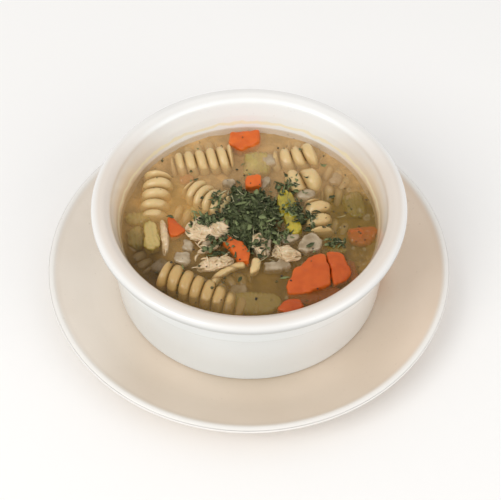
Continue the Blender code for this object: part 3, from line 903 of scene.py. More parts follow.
def outer_face(tree, tone, place):
    """The bowl's outside: a wall painted cooler at the foot and on its lit side, painted shade on the front
    of the lip's roll, painted shade lines in the band's two steps, and a painted shadow band under the lip.
    """
    props = bpy.context.scene.soup_crockery
    top, rim, middle = props.rim_top, props.rim_radius, props.wall_middle
    across, deep, height, reach = place
    # Painted light: the wall turns cooler toward the foot, offsetting the warm light bounced up from the
    # saucer.
    foot = ranged(tree, height, 24 * MM, 8 * MM)
    tone = mixed(tree, product(tree, foot, 0.6), tone, (0.85, 0.89, 0.92))
    beyond = ranged(tree, reach, middle, middle + 0.5 * MM)
    low = ranged(tree, height, LEVEL - 1 * MM, LEVEL - 2 * MM)
    wall = ranged(tree, sums(tree, "ADD", beyond, low), 0.0, 1.0, soft=False)
    below_lip = ranged(tree, height, top - 4.0 * MM, top - 5.6 * MM)
    # Painted light: the outside wall under the lip turns cooler on the lit left and middle, fading out on
    # the right.
    wall = product(tree, wall, below_lip, ranged(tree, across, 40 * MM, 5 * MM))
    tone = mixed(tree, wall, tone, tinted(tree, tone, (0.93, 0.975, 1.0)))
    # Painted shade: the front of the lip's outer roll is darkened where less light reaches it.
    rolled = product(
        tree,
        ranged(tree, height, top - 0.6 * MM, top - 3.4 * MM),
        ranged(tree, reach, rim - 2.4 * MM, rim - 1.0 * MM),
        ranged(tree, deep, 10 * MM, -30 * MM),
    )
    tone = mixed(tree, rolled, tone, tinted(tree, tone, (0.68, 0.70, 0.71)))
    # Painted shade: a soft dark line in each of the band's two steps, where shade falls.
    for seam in (top - 5.9 * MM, LEVEL - 0.9 * MM):
        line = product(tree, line_at(tree, height, seam), beyond, 0.6)
        tone = mixed(tree, line, tone, (0.50, 0.49, 0.47))
    # Painted shadow: a grey band on the wall just under the lip, where the lip's shadow falls (groove here
    # names this shadow band).
    groove = product(
        tree,
        ranged(tree, height, top - 10.0 * MM, top - 8.2 * MM),
        ranged(tree, height, top - 6.4 * MM, top - 7.4 * MM),
        beyond,
        0.55,
    )
    return mixed(tree, groove, tone, (0.60, 0.58, 0.56))


def inner_face(tree, tone, place, coords, near_sides):
    """The bowl's inside: painted light that pales the back, a broth film with painted warm reflection above
    the soup, and a painted cream highlight line round it.
    """
    props = bpy.context.scene.soup_crockery
    _, deep, height, reach = place
    above = ranged(tree, height, LEVEL - 4 * MM, LEVEL - 2 * MM)
    inward = ranged(tree, reach, props.wall_middle + 1.0 * MM, props.wall_middle - 0.5 * MM)
    inside = product(tree, inward, above)
    ragged = product(tree, noise(tree, coords, 190.0, 3.0), 3 * MM)
    drained = sums(tree, "SUBTRACT", height, ragged)
    # Painted light: the inside wall at the back, which faces the light, is made paler and cooler.
    far = product(tree, ranged(tree, deep, 30 * MM, 46 * MM), inside)
    tone = mixed(tree, far, tone, (0.93, 0.96, 0.97))
    # A broth film above the soup with painted warm reflection of the broth: strongest at the sides and
    # front, none at the back.
    film_and_reflection_mask = product(tree, ranged(tree, drained, LEVEL + 13.5 * MM, LEVEL), inside, near_sides)
    tone = mixed(tree, film_and_reflection_mask, tone, props.film_and_reflection)
    wet = ranged(tree, drained, LEVEL + 0.3 * MM, LEVEL - 1.2 * MM)
    wet = product(tree, wet, inside, ranged(tree, deep, 46 * MM, 12 * MM, 0.05, 0.35))
    tone = mixed(tree, wet, tone, (0.52, 0.34, 0.13))
    # Painted highlight: a bright cream line on the wall just above the broth, where the meniscus catches the
    # light.
    ring = product(tree, line_at(tree, drained, LEVEL + 1.3 * MM), inside, 0.8)
    return mixed(tree, ring, tone, (0.95, 0.88, 0.62))


def bowl_glaze():
    """Off-white glaze with painted warm shade on the lip at the front and sides, painted light and shade on
    each face of the wall, and pits.
    """
    props = bpy.context.scene.soup_crockery
    made, tree, shader, coords = new_material("bowl_glaze", 0.2, coat_weight=0.5, coat_roughness=0.08)
    place = place_of(tree, coords)
    _, deep, height, reach = place
    cloud = ranged(tree, noise(tree, coords, 30.0, 3.0), 0.35, 0.7)
    tone = mixed(tree, cloud, props.bowl_glaze, scaled(props.bowl_glaze, (0.965, 0.965, 0.965)))
    # near_sides fades the painted lip shade and the painted broth reflection out toward the back.
    near_sides = ranged(tree, deep, 46 * MM, 12 * MM, 0.0, 0.75)
    # Painted shade: the top of the lip turns to the darker, warmer lip colour at the front and sides.
    lip = product(
        tree,
        ranged(tree, height, props.rim_top - 4.6 * MM, props.rim_top - 2.4 * MM),
        ranged(tree, reach, props.rim_radius - 0.6 * MM, props.rim_radius - 3.4 * MM),
        near_sides,
    )
    tone = mixed(tree, lip, tone, props.lip)
    tone = outer_face(tree, tone, place)
    tone = inner_face(tree, tone, place, coords, near_sides)
    pits = ranged(tree, noise(tree, coords, 900.0, 1.0), 0.74, 0.8)
    tone = mixed(tree, product(tree, pits, 0.2), tone, (0.45, 0.36, 0.27))
    relief = sums(tree, "ADD", noise(tree, coords, 60.0, 2.0), pits)
    finish(tree, shader, tone, relief, 0.12, 0.2 * MM, murk=0)
    return made


def saucer_glaze():
    """Cream glaze, with painted light that pales its sides, a painted highlight that pales its rim, painted
    shadow beside the bowl, and a bare foot ring.
    """
    props = bpy.context.scene.soup_crockery
    made, tree, shader, coords = new_material("saucer_glaze", 0.24, coat_weight=0.35, coat_roughness=0.12)
    across, deep, height, reach = place_of(tree, coords)
    cloud = ranged(tree, noise(tree, coords, 26.0, 4.0), 0.3, 0.72)
    tone = mixed(tree, cloud, props.saucer_glaze, scaled(props.saucer_glaze, (0.955, 0.94, 0.92)))
    out_sideways = sums(tree, "ABSOLUTE", across)
    out_deep = sums(tree, "ABSOLUTE", deep)
    near_bowl = ranged(tree, reach, 66 * MM, 53 * MM)
    right = ranged(tree, sums(tree, "SUBTRACT", across, out_deep), 30 * MM, 52 * MM)
    front = ranged(tree, sums(tree, "ADD", deep, out_sideways), -20 * MM, -48 * MM)
    # Painted light and shadow: paler at both sides, paler and bluer on the lit left, a warm painted shadow
    # beside the bowl on the right, and a grey painted shadow by the bowl's foot at the front.
    for share, factors in (
        (ranged(tree, out_sideways, 45 * MM, 75 * MM), (1.14, 1.13, 1.14)),
        (ranged(tree, across, -35 * MM, -75 * MM), (1.05, 1.14, 1.25)),
        (product(tree, near_bowl, right), (0.88, 0.74, 0.65)),
        (product(tree, near_bowl, front), (0.86, 0.86, 0.84)),
    ):
        tone = mixed(tree, share, tone, tinted(tree, tone, factors))
    # Painted highlight: the rolled rim turns to the pale rim colour.
    edge = ranged(tree, reach, props.saucer_radius - 4.2 * MM, props.saucer_radius - 1.6 * MM)
    tone = mixed(tree, edge, tone, props.saucer_rim_highlight)
    bare = ranged(tree, height, 0.9 * MM, 0.4 * MM)
    tone = mixed(tree, bare, tone, props.bare_clay)
    pits = ranged(tree, noise(tree, coords, 700.0, 1.0), 0.73, 0.8)
    tone = mixed(tree, product(tree, pits, 0.18), tone, (0.38, 0.28, 0.20))
    tree.links.new(ranged(tree, bare, 0.0, 1.0, 0.24, 0.85), shader.inputs["Roughness"])
    rough_foot = product(tree, noise(tree, coords, 800.0), bare)
    relief = sums(tree, "ADD", noise(tree, coords, 55.0, 2.0), rough_foot)
    finish(tree, shader, tone, relief, 0.12, 0.2 * MM, murk=0)
    return made


def broth_body():
    """The cloudy body of the broth: the place's colour with settled clouds and specks."""
    made, tree, shader, coords = new_material("broth_body", 0.45, specular_ior_level=0.2)
    tone = wire(tree, "ShaderNodeGroup", node_tree=broth_tone_group()).outputs["Color"]
    cloud = ranged(tree, noise(tree, coords, 110.0, 5.0, 0.62), 0.36, 0.68)
    darker = tinted(tree, tone, (0.62, 0.60, 0.55))
    lighter = tinted(tree, tone, (1.28, 1.24, 1.16))
    tone = mixed(tree, cloud, darker, lighter)
    bits = ranged(tree, noise(tree, coords, 520.0, 2.0), 0.66, 0.74)
    tone = mixed(tree, product(tree, bits, 0.45), tone, (0.09, 0.075, 0.02))
    finish(tree, shader, tone, cloud, 0.3, 0.6 * MM, murk=0)
    return made


def broth_skin():
    """The surface of the broth: a thin veil of its colour under a watery gloss."""
    made, tree, shader, coords = new_material("broth_skin", 0.06, ior=1.62)
    tone = wire(tree, "ShaderNodeGroup", node_tree=broth_tone_group()).outputs["Color"]
    shader.inputs["Alpha"].default_value = 0.2
    finish(tree, shader, tone, noise(tree, coords, 160.0, 3.0), 0.10, 0.4 * MM, murk=0)
    return made


def pasta():
    """Cooked pasta: pale crests, golden grooves darkened with painted shade, a faint floury grain."""
    props = bpy.context.scene.soup_pasta
    made, tree, shader, coords = new_material("cooked_pasta", 0.36, coat_weight=0.3, coat_roughness=0.18)
    let_light_in(shader, 0.12, 2 * MM)
    crest = attribute(tree, "crest")
    # Painted shade: the grooves between the fins darken to the groove colour.
    tone = mixed(tree, ranged(tree, crest, 0.25, 0.93), props.groove_shade, props.crest)
    cloud = ranged(tree, noise(tree, coords, 150.0, 3.0), 0.35, 0.7)
    floury = scaled(props.crest, (1.1, 1.12, 1.2))
    tone = mixed(tree, product(tree, cloud, 0.35), tone, floury)
    # Painted shade on soaked pasta too: its grooves fall to under half the soaked colour.
    soaked = mixed(tree, ranged(tree, crest, 0.2, 0.8), [c * 0.45 for c in props.soaked], props.soaked)
    tone = mixed(tree, attribute(tree, "soak"), tone, soaked)
    grain = noise(tree, coords, 1300.0, 3.0)
    tone = mixed(tree, ranged(tree, grain, 0.55, 0.8, 0.0, 0.25), tone, props.groove_shade)
    finish(tree, shader, tone, grain, 0.25, 0.12 * MM, murk=4.6 * MM)
    return made


def carrot():
    """Cooked carrot: bright orange, deeper toward some pieces, clouded and finely grained."""
    props = bpy.context.scene.soup_garden
    made, tree, shader, coords = new_material("cooked_carrot", 0.42, coat_weight=0.08, coat_roughness=0.12)
    shader.inputs["Specular IOR Level"].default_value = 0.35
    let_light_in(shader, 0.08, 2 * MM)
    rim = attribute(tree, "rim")
    tone = mixed(tree, attribute(tree, "tone"), props.carrot, props.carrot_deep)
    paler = tinted(tree, tone, (1.12, 1.35, 1.4))
    tone = mixed(tree, ranged(tree, rim, 0.86, 1.0, 0.0, 0.5), tone, paler)
    cloud = ranged(tree, noise(tree, coords, 210.0, 4.0), 0.38, 0.66)
    deeper = tinted(tree, tone, (0.80, 0.66, 0.55))
    tone = mixed(tree, product(tree, cloud, 0.55), tone, deeper)
    grain = noise(tree, coords, 1500.0, 2.0)
    finish(tree, shader, tone, sums(tree, "ADD", grain, cloud), 0.3, 0.14 * MM, murk=5.5 * MM)
    return made


def celery():
    """Cooked celery: yellow-green and glassy, greener at the edge, veined along its ribs."""
    props = bpy.context.scene.soup_garden
    made, tree, shader, coords = new_material("cooked_celery", 0.24, coat_weight=0.5, coat_roughness=0.12)
    let_light_in(shader, 0.15, 3 * MM)
    greener = ranged(tree, attribute(tree, "rim"), 0.6, 1.0, -0.1, 0.35)
    share = sums(tree, "ADD", attribute(tree, "tone"), greener)
    cloud = ranged(tree, noise(tree, coords, 130.0, 4.0), 0.3, 0.7, -0.25, 0.25)
    share = ranged(tree, sums(tree, "ADD", share, cloud), 0.0, 1.0, soft=False)
    tone = mixed(tree, share, props.celery_pale, props.celery_green)
    inner_stalk = ranged(tree, attribute(tree, "tone"), 1.0, 1.5)
    heart = product(tree, inner_stalk, ranged(tree, cloud, 0.2, -0.2))
    tone = mixed(tree, heart, tone, props.celery_yellow)
    grain = noise(tree, coords, 900.0, 3.0)
    tone = mixed(tree, ranged(tree, grain, 0.5, 0.75, 0.0, 0.3), tone, props.celery_green)
    finish(tree, shader, tone, grain, 0.4, 0.16 * MM, murk=5.5 * MM)
    return made


def onion():
    """Cooked onion: greyish, glossy and half clear."""
    props = bpy.context.scene.soup_garden
    made, tree, shader, coords = new_material("cooked_onion", 0.16, coat_weight=0.6, coat_roughness=0.08)
    shader.inputs["Alpha"].default_value = 0.8
    cloud = ranged(tree, noise(tree, coords, 240.0, 3.0), 0.35, 0.68)
    tone = mixed(tree, cloud, props.onion, scaled(props.onion, (0.62, 0.56, 0.46)))
    finish(tree, shader, tone, cloud, 0.35, 0.25 * MM, murk=5.0 * MM)
    return made


def chicken():
    """Pulled chicken: pale fibres with painted shade in the hollows between them and over a shaded shred,
    darker clouds and paler patches.
    """
    props = bpy.context.scene.soup_garden
    made, tree, shader, coords = new_material("pulled_chicken", 0.42, coat_weight=0.2, coat_roughness=0.25)
    let_light_in(shader, 0.12, 2 * MM)
    # Painted shade: the hollows between fibres, and shreds with a low shade, turn to the deep colour.
    fibre = ranged(tree, attribute(tree, "fibre"), 0.1, 0.7)
    tone = mixed(tree, fibre, props.chicken_deep, props.chicken)
    cloud = ranged(tree, noise(tree, coords, 260.0, 4.0), 0.36, 0.64)
    tone = mixed(tree, product(tree, cloud, 0.5), tone, props.chicken_deep)
    paler = ranged(tree, noise(tree, coords, 620.0, 3.0), 0.56, 0.72)
    tone = mixed(tree, product(tree, paler, 0.6), tone, (0.86, 0.74, 0.58))
    grain = noise(tree, coords, 1000.0, 4.0)
    finish(tree, shader, tone, sums(tree, "ADD", grain, cloud), 0.6, 0.25 * MM, murk=4.5 * MM)
    return made


def parsley():
    """Chopped parsley: each flake its own green between dark and lit, matt and grainy, with pale stems."""
    props = bpy.context.scene.soup_garden
    made, tree, shader, coords = new_material("chopped_parsley", 0.55, specular_ior_level=0.3)
    tint = ranged(tree, attribute(tree, "tint"), 0.0, 1.0, soft=False)
    tone = mixed(tree, tint, props.parsley_dark, props.parsley_light)
    grain = noise(tree, coords, 1100.0, 2.0)
    tone = mixed(tree, ranged(tree, grain, 0.5, 0.8, 0.0, 0.6), tone, (0.26, 0.27, 0.13))
    stem = ranged(tree, attribute(tree, "tint"), 1.5, 2.0)
    tone = mixed(tree, stem, tone, (0.50, 0.47, 0.28))
    finish(tree, shader, tone, grain, 0.3, 0.1 * MM, murk=3.5 * MM)
    return made


def pepper():
    """Ground pepper and dried herb: near black with brown and green grains."""
    made, tree, shader, coords = new_material("ground_pepper", 0.5)
    kind = noise(tree, coords, 260.0, 1.0)
    tone = mixed(tree, ranged(tree, kind, 0.42, 0.56), (0.022, 0.017, 0.010), (0.085, 0.075, 0.022))
    finish(tree, shader, tone, noise(tree, coords, 3000.0), 0.4, 0.05 * MM, murk=0)
    return made


def oil():
    """Drops of oil afloat: a clear pale yellow lens with a bright edge."""
    made, tree, shader, coords = new_material("floating_oil", 0.05, ior=1.7)
    shader.inputs["Alpha"].default_value = 0.09
    tone = mixed(tree, noise(tree, coords, 300.0), (0.60, 0.45, 0.20), (0.78, 0.66, 0.42))
    finish(tree, shader, tone, murk=0)
    return made


# Operators ------------------------------------------------------------------------------------


class SOUP_OT_saucer(bpy.types.Operator):
    """Turns the saucer: flat well, cove, rolled rim and foot ring."""

    bl_idname = "soup.saucer"
    bl_label = "Saucer"

    def execute(self, context):
        props = context.scene.soup_crockery
        edge, top = props.saucer_radius, props.saucer_top
        corners = [
            (0, 6.6 * MM, 0),
            (edge - 20.5 * MM, 6.6 * MM, 26 * MM),
            (edge - 4.8 * MM, top - 1.9 * MM, 14 * MM),
            (edge - 1.6 * MM, top + 0.35 * MM, 1.9 * MM),
            (edge + 0.25 * MM, top - 1.4 * MM, 1.2 * MM),
            (edge - 1.9 * MM, top - 3.6 * MM, 2.4 * MM),
            (edge - 15.4 * MM, 4.6 * MM, 9 * MM),
            (edge - 32.9 * MM, 2.6 * MM, 2 * MM),
            (edge - 34.4 * MM, 0, 0.7 * MM),
            (edge - 38.9 * MM, 0, 0.7 * MM),
            (edge - 39.9 * MM, 2.6 * MM, 1.2 * MM),
            (0, 2.6 * MM, 0),
        ]
        points, faces = turned(filleted(corners), props.steps_round)
        add_piece("saucer_ware", points, faces, saucer_glaze(), "saucer", "saucer_stoneware")
        return {"FINISHED"}


class SOUP_OT_bowl(bpy.types.Operator):
    """Turns the bowl: straight wall, band under the lip, rounded lip and recessed base."""

    bl_idname = "soup.bowl"
    bl_label = "Bowl"

    def execute(self, context):
        props = context.scene.soup_crockery
        rim, top, base = props.rim_radius, props.rim_top, props.base_height
        inner = props.soup_radius
        corners = [
            (0, base + 4.2 * MM, 0),
            (inner - 4.9 * MM, base + 4.2 * MM, 5 * MM),
            (inner + 0.15 * MM, LEVEL, 0),
            (inner + 1.5 * MM, LEVEL + 6.4 * MM, 9 * MM),
            (inner + 3.6 * MM, top - 1.9 * MM, 2.6 * MM),
            (rim - 4.4 * MM, top + 0.25 * MM, 3.2 * MM),
            (rim + 0.15 * MM, top - 0.9 * MM, 2.2 * MM),
            (rim, top - 4.3 * MM, 0.9 * MM),
            (rim - 4.3 * MM, top - 5.5 * MM, 0.5 * MM),
            (rim - 4.2 * MM, top - 6.3 * MM, 0.4 * MM),
            (rim - 3.5 * MM, top - 7.0 * MM, 0.5 * MM),
            (rim - 3.6 * MM, LEVEL - 0.1 * MM, 0.9 * MM),
            (rim - 6.1 * MM, LEVEL - 0.7 * MM, 0.4 * MM),
            (rim - 5.6 * MM, LEVEL - 2.1 * MM, 0.8 * MM),
            (rim - 7.6 * MM, base, 1.3 * MM),
            (rim - 14.5 * MM, base, 0.5 * MM),
            (rim - 15.5 * MM, base + 1.0 * MM, 0.6 * MM),
            (0, base + 1.0 * MM, 0),
        ]
        points, faces = turned(filleted(corners), props.steps_round)
        add_piece("bowl_ware", points, faces, bowl_glaze(), "bowl", "bowl_stoneware")
        return {"FINISHED"}


class SOUP_OT_noodles(bpy.types.Operator):
    """Sweeps the seven corkscrew noodles at the surface, and cuts a broken scrap."""

    bl_idname = "soup.noodles"
    bl_label = "Noodles"

    def execute(self, context):
        skin = pasta()
        add_noodle("noodle_back_left", skin, 60, 2.2, (1.8, 0), soak=0.12, seed=3)
        add_noodle("noodle_left", skin, 225, 2.0, (1.6, 0), pitch=1.15, soak=0.1, seed=11)
        add_noodle("noodle_middle", skin, 30, 2.0, (0.6, 0), soak=0.1, seed=19)
        add_noodle("noodle_back_right", skin, 150, 2.2, (1.8, 0), pitch=1.15, soak=0.1, seed=23)
        add_noodle("noodle_right", skin, 250, 2.0, pitch=1.75, soak=0.15, seed=29, blunt=4 * MM)
        add_noodle("noodle_side", skin, 90, 2.0, (0.6, 0.8), pitch=1.45, groove=1.2, soak=0.3, seed=31)
        add_noodle("noodle_front", skin, 195, 2.5, (0, 2.8), pitch=1.06, soak=0.75, seed=37)
        form = {"edge": 1.0 * MM, "crown": 0.5 * MM, "seed": 5}
        add_cut_piece("noodle_scrap", broken_pasta(skin), "pasta", grow=1.35, **form)
        return {"FINISHED"}


def broken_pasta(skin):
    """The same cooked pasta, for a scrap that has no fins."""
    made = skin.copy()
    made.name = "broken_pasta"
    tree = made.node_tree
    for link in list(tree.links):
        if link.from_node.bl_idname == "ShaderNodeAttribute":
            link.to_socket.default_value = 0.9 if link.from_node.attribute_name == "crest" else 0.1
            tree.links.remove(link)
    return made


class SOUP_OT_carrots(bpy.types.Operator):
    """Cuts the seven pieces of carrot."""

    bl_idname = "soup.carrots"
    bl_label = "Carrots"

    def execute(self, context):
        skin = carrot()
        for name, edge, tone, grow in (
            ("back", 1.2, 0.05, 1.0),
            ("cube", 0.6, 0.15, 1.0),
            ("wedge", 0.6, 0.4, 1.05),
            ("strip", 0.7, 0.25, 1.0),
            ("coin", 0.9, 0.5, 1.03),
            ("chunk", 1.0, 0.55, 1.08),
            ("front", 0.8, 0.7, 1.05),
        ):
            form = {"edge": edge * MM, "crown": 0.4 * MM, "uneven": 0.35 * MM}
            add_cut_piece("carrot_" + name, skin, "carrot", tone, grow, seed=len(name) * 7, **form)
        return {"FINISHED"}


class SOUP_OT_celery(bpy.types.Operator):
    """Cuts the three pieces of celery, ribbed along their length."""

    bl_idname = "soup.celery"
    bl_label = "Celery"

    def execute(self, context):
        skin = celery()
        for name, angle, tone, depth, sink in (
            ("left", 0.15, 0.1, 0.35, 0.0),
            ("right", 0.1, 1.5, 0.5, 0.3),
            ("back", 0.0, 0.3, 0.3, 1.2),
        ):
            node = "celery_" + name
            ribs = (1.9 * MM, depth * MM, angle)
            form = {"edge": 1.1 * MM, "crown": 0.5 * MM, "uneven": 0.4 * MM, "ribs": ribs, "sink": sink * MM}
            add_cut_piece(node, skin, "celery", tone, seed=len(name) * 5, **form)
        return {"FINISHED"}


class SOUP_OT_onions(bpy.types.Operator):
    """Cuts the four half-clear pieces of onion, and ten small bits among the other pieces."""

    bl_idname = "soup.onions"
    bl_label = "Onions"

    def execute(self, context):
        skin = onion()
        form = {"edge": 0.9 * MM, "crown": 0.6 * MM, "uneven": 0.3 * MM}
        grown = {"far_left": 1.05, "left": 1.05, "middle": 1.05, "right": 1.2}
        for seed, (name, grow) in enumerate(grown.items()):
            add_cut_piece("onion_" + name, skin, "onion", grow=grow, seed=seed * 13 + 2, **form)
        bits = (
            ((6.6, 20.4, 1.4), (6.0, 4.2, 4.0), 30, 4.0),
            ((-8.6, 20.4, 1.2), (5.2, 4.4, 3.6), -40, -5.0),
            ((8.4, 34.6, -0.1), (5.6, 7.6, 3.0), 10, 0.0),
            ((13.8, -22.6, 0.8), (6.4, 4.0, 3.0), -20, 3.0),
            ((-17.4, -12.4, 0.9), (4.4, 3.6, 3.0), 60, 6.0),
            ((7.9, -12.0, 1.9), (13.0, 2.6, 3.6), 88, -6.0),
            ((11.6, -12.6, 1.5), (9.0, 2.4, 3.4), 72, -4.0),
            ((3.2, -15.4, 1.5), (8.4, 2.4, 3.2), 112, 5.0),
            ((23.8, 14.6, 0.7), (7.0, 5.0, 3.0), 10, 3.0),
            ((16.6, -9.4, 1.2), (7.6, 4.8, 3.0), 30, 3.0),
        )
        forms = []
        for i, (place, size, turn, lean) in enumerate(bits):
            section = block_section(place, size, turn, lean, seed=i)
            forms.append(cut_form(section, 0.8 * MM, 0.5 * MM, 0.3 * MM, seed=i + 60))
        points, faces, rim = joined(forms)
        add_piece("onion_bits", points, faces, skin, None, "onion", {"rim": rim})
        return {"FINISHED"}


class SOUP_OT_chicken(bpy.types.Operator):
    """Pulls the six shreds of chicken, and strews loose fibres over them."""

    bl_idname = "soup.chicken"
    bl_label = "Chicken"

    def execute(self, context):
        skin = chicken()
        add_shred("chicken_large", skin, 3, fibres=17, fatten=1.06)
        add_shred("chicken_sliver", skin, 5, fibres=7)
        add_shred("chicken_low", skin, 8, fibres=11, fatten=1.2, lift=0.2 * MM)
        # shade=0.6 paints this shred darker: painted shade.
        add_shred("chicken_right", skin, 13, fibres=13, fatten=1.15, shade=0.6)
        add_shred("chicken_strip", skin, 21, fibres=7)
        add_shred("chicken_under_herbs", skin, 34, fibres=11)
        rng = np.random.default_rng(17)
        rows = (
            (8, 4, -10, 5, 5),
            (8, -14, -22, 6, 3),
            (8, -17, -6, 6, 4),
            (8, 14, -18, 5, 2),
            (8, -16, -15, 5, 2),
            (8, 3, -13, 2, 4),
        )
        places = strewn(rows, rng)
        count = len(places)
        heights = surface_height(places, 0.5 * MM, slots=("chicken",)) + rng.uniform(-0.3, 0.25, count) * MM
        points, faces, mark = threads(
            np.column_stack([places, heights]),
            rng.uniform(0, np.pi, count),
            rng.uniform(2.5, 6, count) * MM,
            rng.uniform(0.2, 0.55, count) * MM,
            rng.uniform(-1.2, 1.2, count) * MM,
            6,
        )
        add_piece("chicken_threads", points, faces, skin, None, "chicken", {"fibre": mark})
        return {"FINISHED"}


class SOUP_OT_parsley(bpy.types.Operator):
    """Heaps the chopped parsley over a dark core and scatters more around it."""

    bl_idname = "soup.parsley"
    bl_label = "Parsley"

    def execute(self, context):
        props = context.scene.soup_garden
        rng = np.random.default_rng(7)
        skin = parsley()
        middle = np.array((HEAP_LOW + HEAP_HIGH) / 2)
        half = np.array((HEAP_HIGH - HEAP_LOW) / 2)
        rise = HEAP_HIGH.z - LEVEL

        around = np.linspace(0, 2 * np.pi, 72, endpoint=False)
        share = np.array([0.3, 0.7, 0.93, 1.0, 0.95, 0.82, 0.66, 0.48, 0.3, 0.12])
        lift = np.array([-0.25, -0.25, -0.2, -0.05, 0.14, 0.34, 0.52, 0.66, 0.74, 0.78])
        edge = 1 + 0.07 * np.sin(3 * around + 0.6) + 0.05 * np.sin(7 * around) - 0.05 * np.cos(5 * around)
        edge *= 0.86
        rings = np.empty((len(share), len(around), 3))
        rings[..., 0] = middle[0] + half[0] * share[:, None] * edge * np.cos(around)
        rings[..., 1] = middle[1] + half[1] * share[:, None] * edge * np.sin(around)
        rings[..., 2] = LEVEL + rise * lift[:, None]
        rings += waves(rings, 3.2 * MM, 4)[..., None] * 0.5 * MM
        points, faces = capped(rings)
        tint = np.clip(0.15 + 0.3 * waves(points, 1.6 * MM, 9), 0, 0.5)
        add_piece("parsley_core", points, faces, skin, "herb_heap", "parsley", {"tint": tint})

        places = in_disc(props.flakes, 1.0, rng)
        reach = np.linalg.norm(places, axis=1)
        angle = np.arctan2(places[:, 1], places[:, 0])
        edge = 1 + 0.12 * np.sin(3 * angle + 0.6) + 0.09 * np.sin(7 * angle) - 0.07 * np.cos(5 * angle)
        at = middle[:2] + places * half[:2] * (edge * rng.uniform(0.80, 1.0, len(edge)))[:, None]
        lumps = waves(np.column_stack([at, at[:, 0] * 0]), 7 * MM, 52) * 0.8 * MM
        height = LEVEL + rise * 0.66 * (1 - reach**2.4) + lumps * (1 - reach)
        height += rng.uniform(-0.3, 0.9, len(at)) * MM
        self.scatter("parsley_flakes", skin, at, height, rng, 1.0, tilt=0.6)

        rows = (
            (7, 8, -2, 5, 6),
            (7, -2, 8, 7, 7),
            (7, 4, -8, 6, 3),
            (7, 13.5, -8, 5, 3),
            (7, 22, 0, 4, 4),
            (7, -8, 3, 4, 6),
            (7, 1, 2, 6, 7),
        )
        broad = strewn(rows, rng)
        height = surface_height(broad, 0.6 * MM) + 0.35 * MM
        self.scatter("parsley_leaves", skin, broad, height, rng, 1.2, tilt=0.4, lit=0.6)

        loose = self.loose_places(props.scattered, rng)
        height = surface_height(loose, leave_out=("parsley_core", "parsley_flakes", "parsley_leaves"))
        self.scatter("parsley_scatter", skin, loose, height + 0.15 * MM, rng, 0.9, tilt=0.3, lit=0.3)
        return {"FINISHED"}

    def loose_places(self, count, rng):
        """Places for single flakes: a ring round the heap, trails over nearby pieces, and a few anywhere."""
        trails = (
            (0.16, 10.5, -8.8, 6.0, 3.0),
            (0.15, 19.0, 4.0, 8.5, 5.0),
            (0.07, 25.0, 0.0, 5.0, 4.0),
            (0.08, 17.0, 17.0, 7.0, 4.0),
            (0.13, -16.5, -3.0, 6.0, 4.0),
            (0.06, -11.5, -12.5, 5.0, 2.2),
            (0.06, -13.0, -17.0, 7.0, 2.2),
            (0.06, 35.0, -11.2, 4.5, 2.4),
            (0.06, 5.5, -14.0, 6.0, 4.5),
            (0.05, -13.0, 7.0, 3.5, 5.0),
            (0.12, 0.0, 0.0, 42.0, 42.0),
        )
        places = strewn([(math.ceil(count * share), *spot) for share, *spot in trails], rng)
        return places[np.linalg.norm(places, axis=1) < SOUP_RADIUS - 1.5 * MM]

    def scatter(self, name, skin, at, height, rng, size, tilt, lit=0.22):
        """One mesh of curled shreds at the given places, with some thin pale stems among them."""
        count = len(at)
        centres = np.column_stack([at, height])
        stems = rng.uniform(size=count) < 0.09
        lengths = rng.lognormal(math.log(2.9 * MM), 0.40, count) * size * np.where(stems, 1.8, 1)
        widths = rng.uniform(0.7, 2.2, count) * MM * size * np.where(stems, 0.28, 1)
        normals = rng.normal(size=(count, 3)) * (tilt, tilt, 0.15) + (0, 0, 1)
        normals /= np.linalg.norm(normals, axis=1, keepdims=True)
        turn = rng.uniform(0, 2 * np.pi, count)
        headings = np.stack([np.cos(turn), np.sin(turn), rng.uniform(-0.4, 0.4, count) * tilt], -1)
        curls = rng.uniform(-0.5, 1.0, count) * np.where(stems, 0.3, 1)
        points, faces = flakes(centres, lengths, widths, normals, headings, curls, rng)
        patch = 0.5 + 0.5 * waves(centres, 5 * MM, 51)
        is_lit = rng.uniform(size=count) < lit * (0.5 + patch)
        leaves = np.where(is_lit, rng.uniform(0.5, 1, count), rng.uniform(0, 0.32, count))
        tint = np.repeat(np.where(stems, 2.0, leaves), FLAKE_POINTS)
        add_piece(name, points, faces, skin, None, "parsley", {"tint": tint})


class SOUP_OT_seasoning(bpy.types.Operator):
    """Sprinkles pepper and dried herb over the soup."""

    bl_idname = "soup.seasoning"
    bl_label = "Seasoning"

    def execute(self, context):
        props = context.scene.soup_garden
        rng = np.random.default_rng(21)
        places = in_disc(props.grains, SOUP_RADIUS - 1.2 * MM, rng)
        near = in_disc(props.grains // 2, 1.0, rng) * (26 * MM, 22 * MM) + (-2 * MM, -4 * MM)
        right = in_disc(props.grains // 3, 1.0, rng) * (8 * MM, 24 * MM) + (42 * MM, 6 * MM)
        places = np.concatenate([places, near, right])
        places = places[np.linalg.norm(places, axis=1) < SOUP_RADIUS - 0.8 * MM]
        height = surface_height(places, 0.6 * MM) + 0.05 * MM
        sizes = rng.lognormal(math.log(0.30 * MM), 0.42, len(places)).clip(0.12 * MM, 0.75 * MM)
        points, faces = specks(np.column_stack([places, height]), sizes, rng, 0.6)
        add_piece("pepper_grains", points, faces, pepper(), None, "parsley")
        return {"FINISHED"}


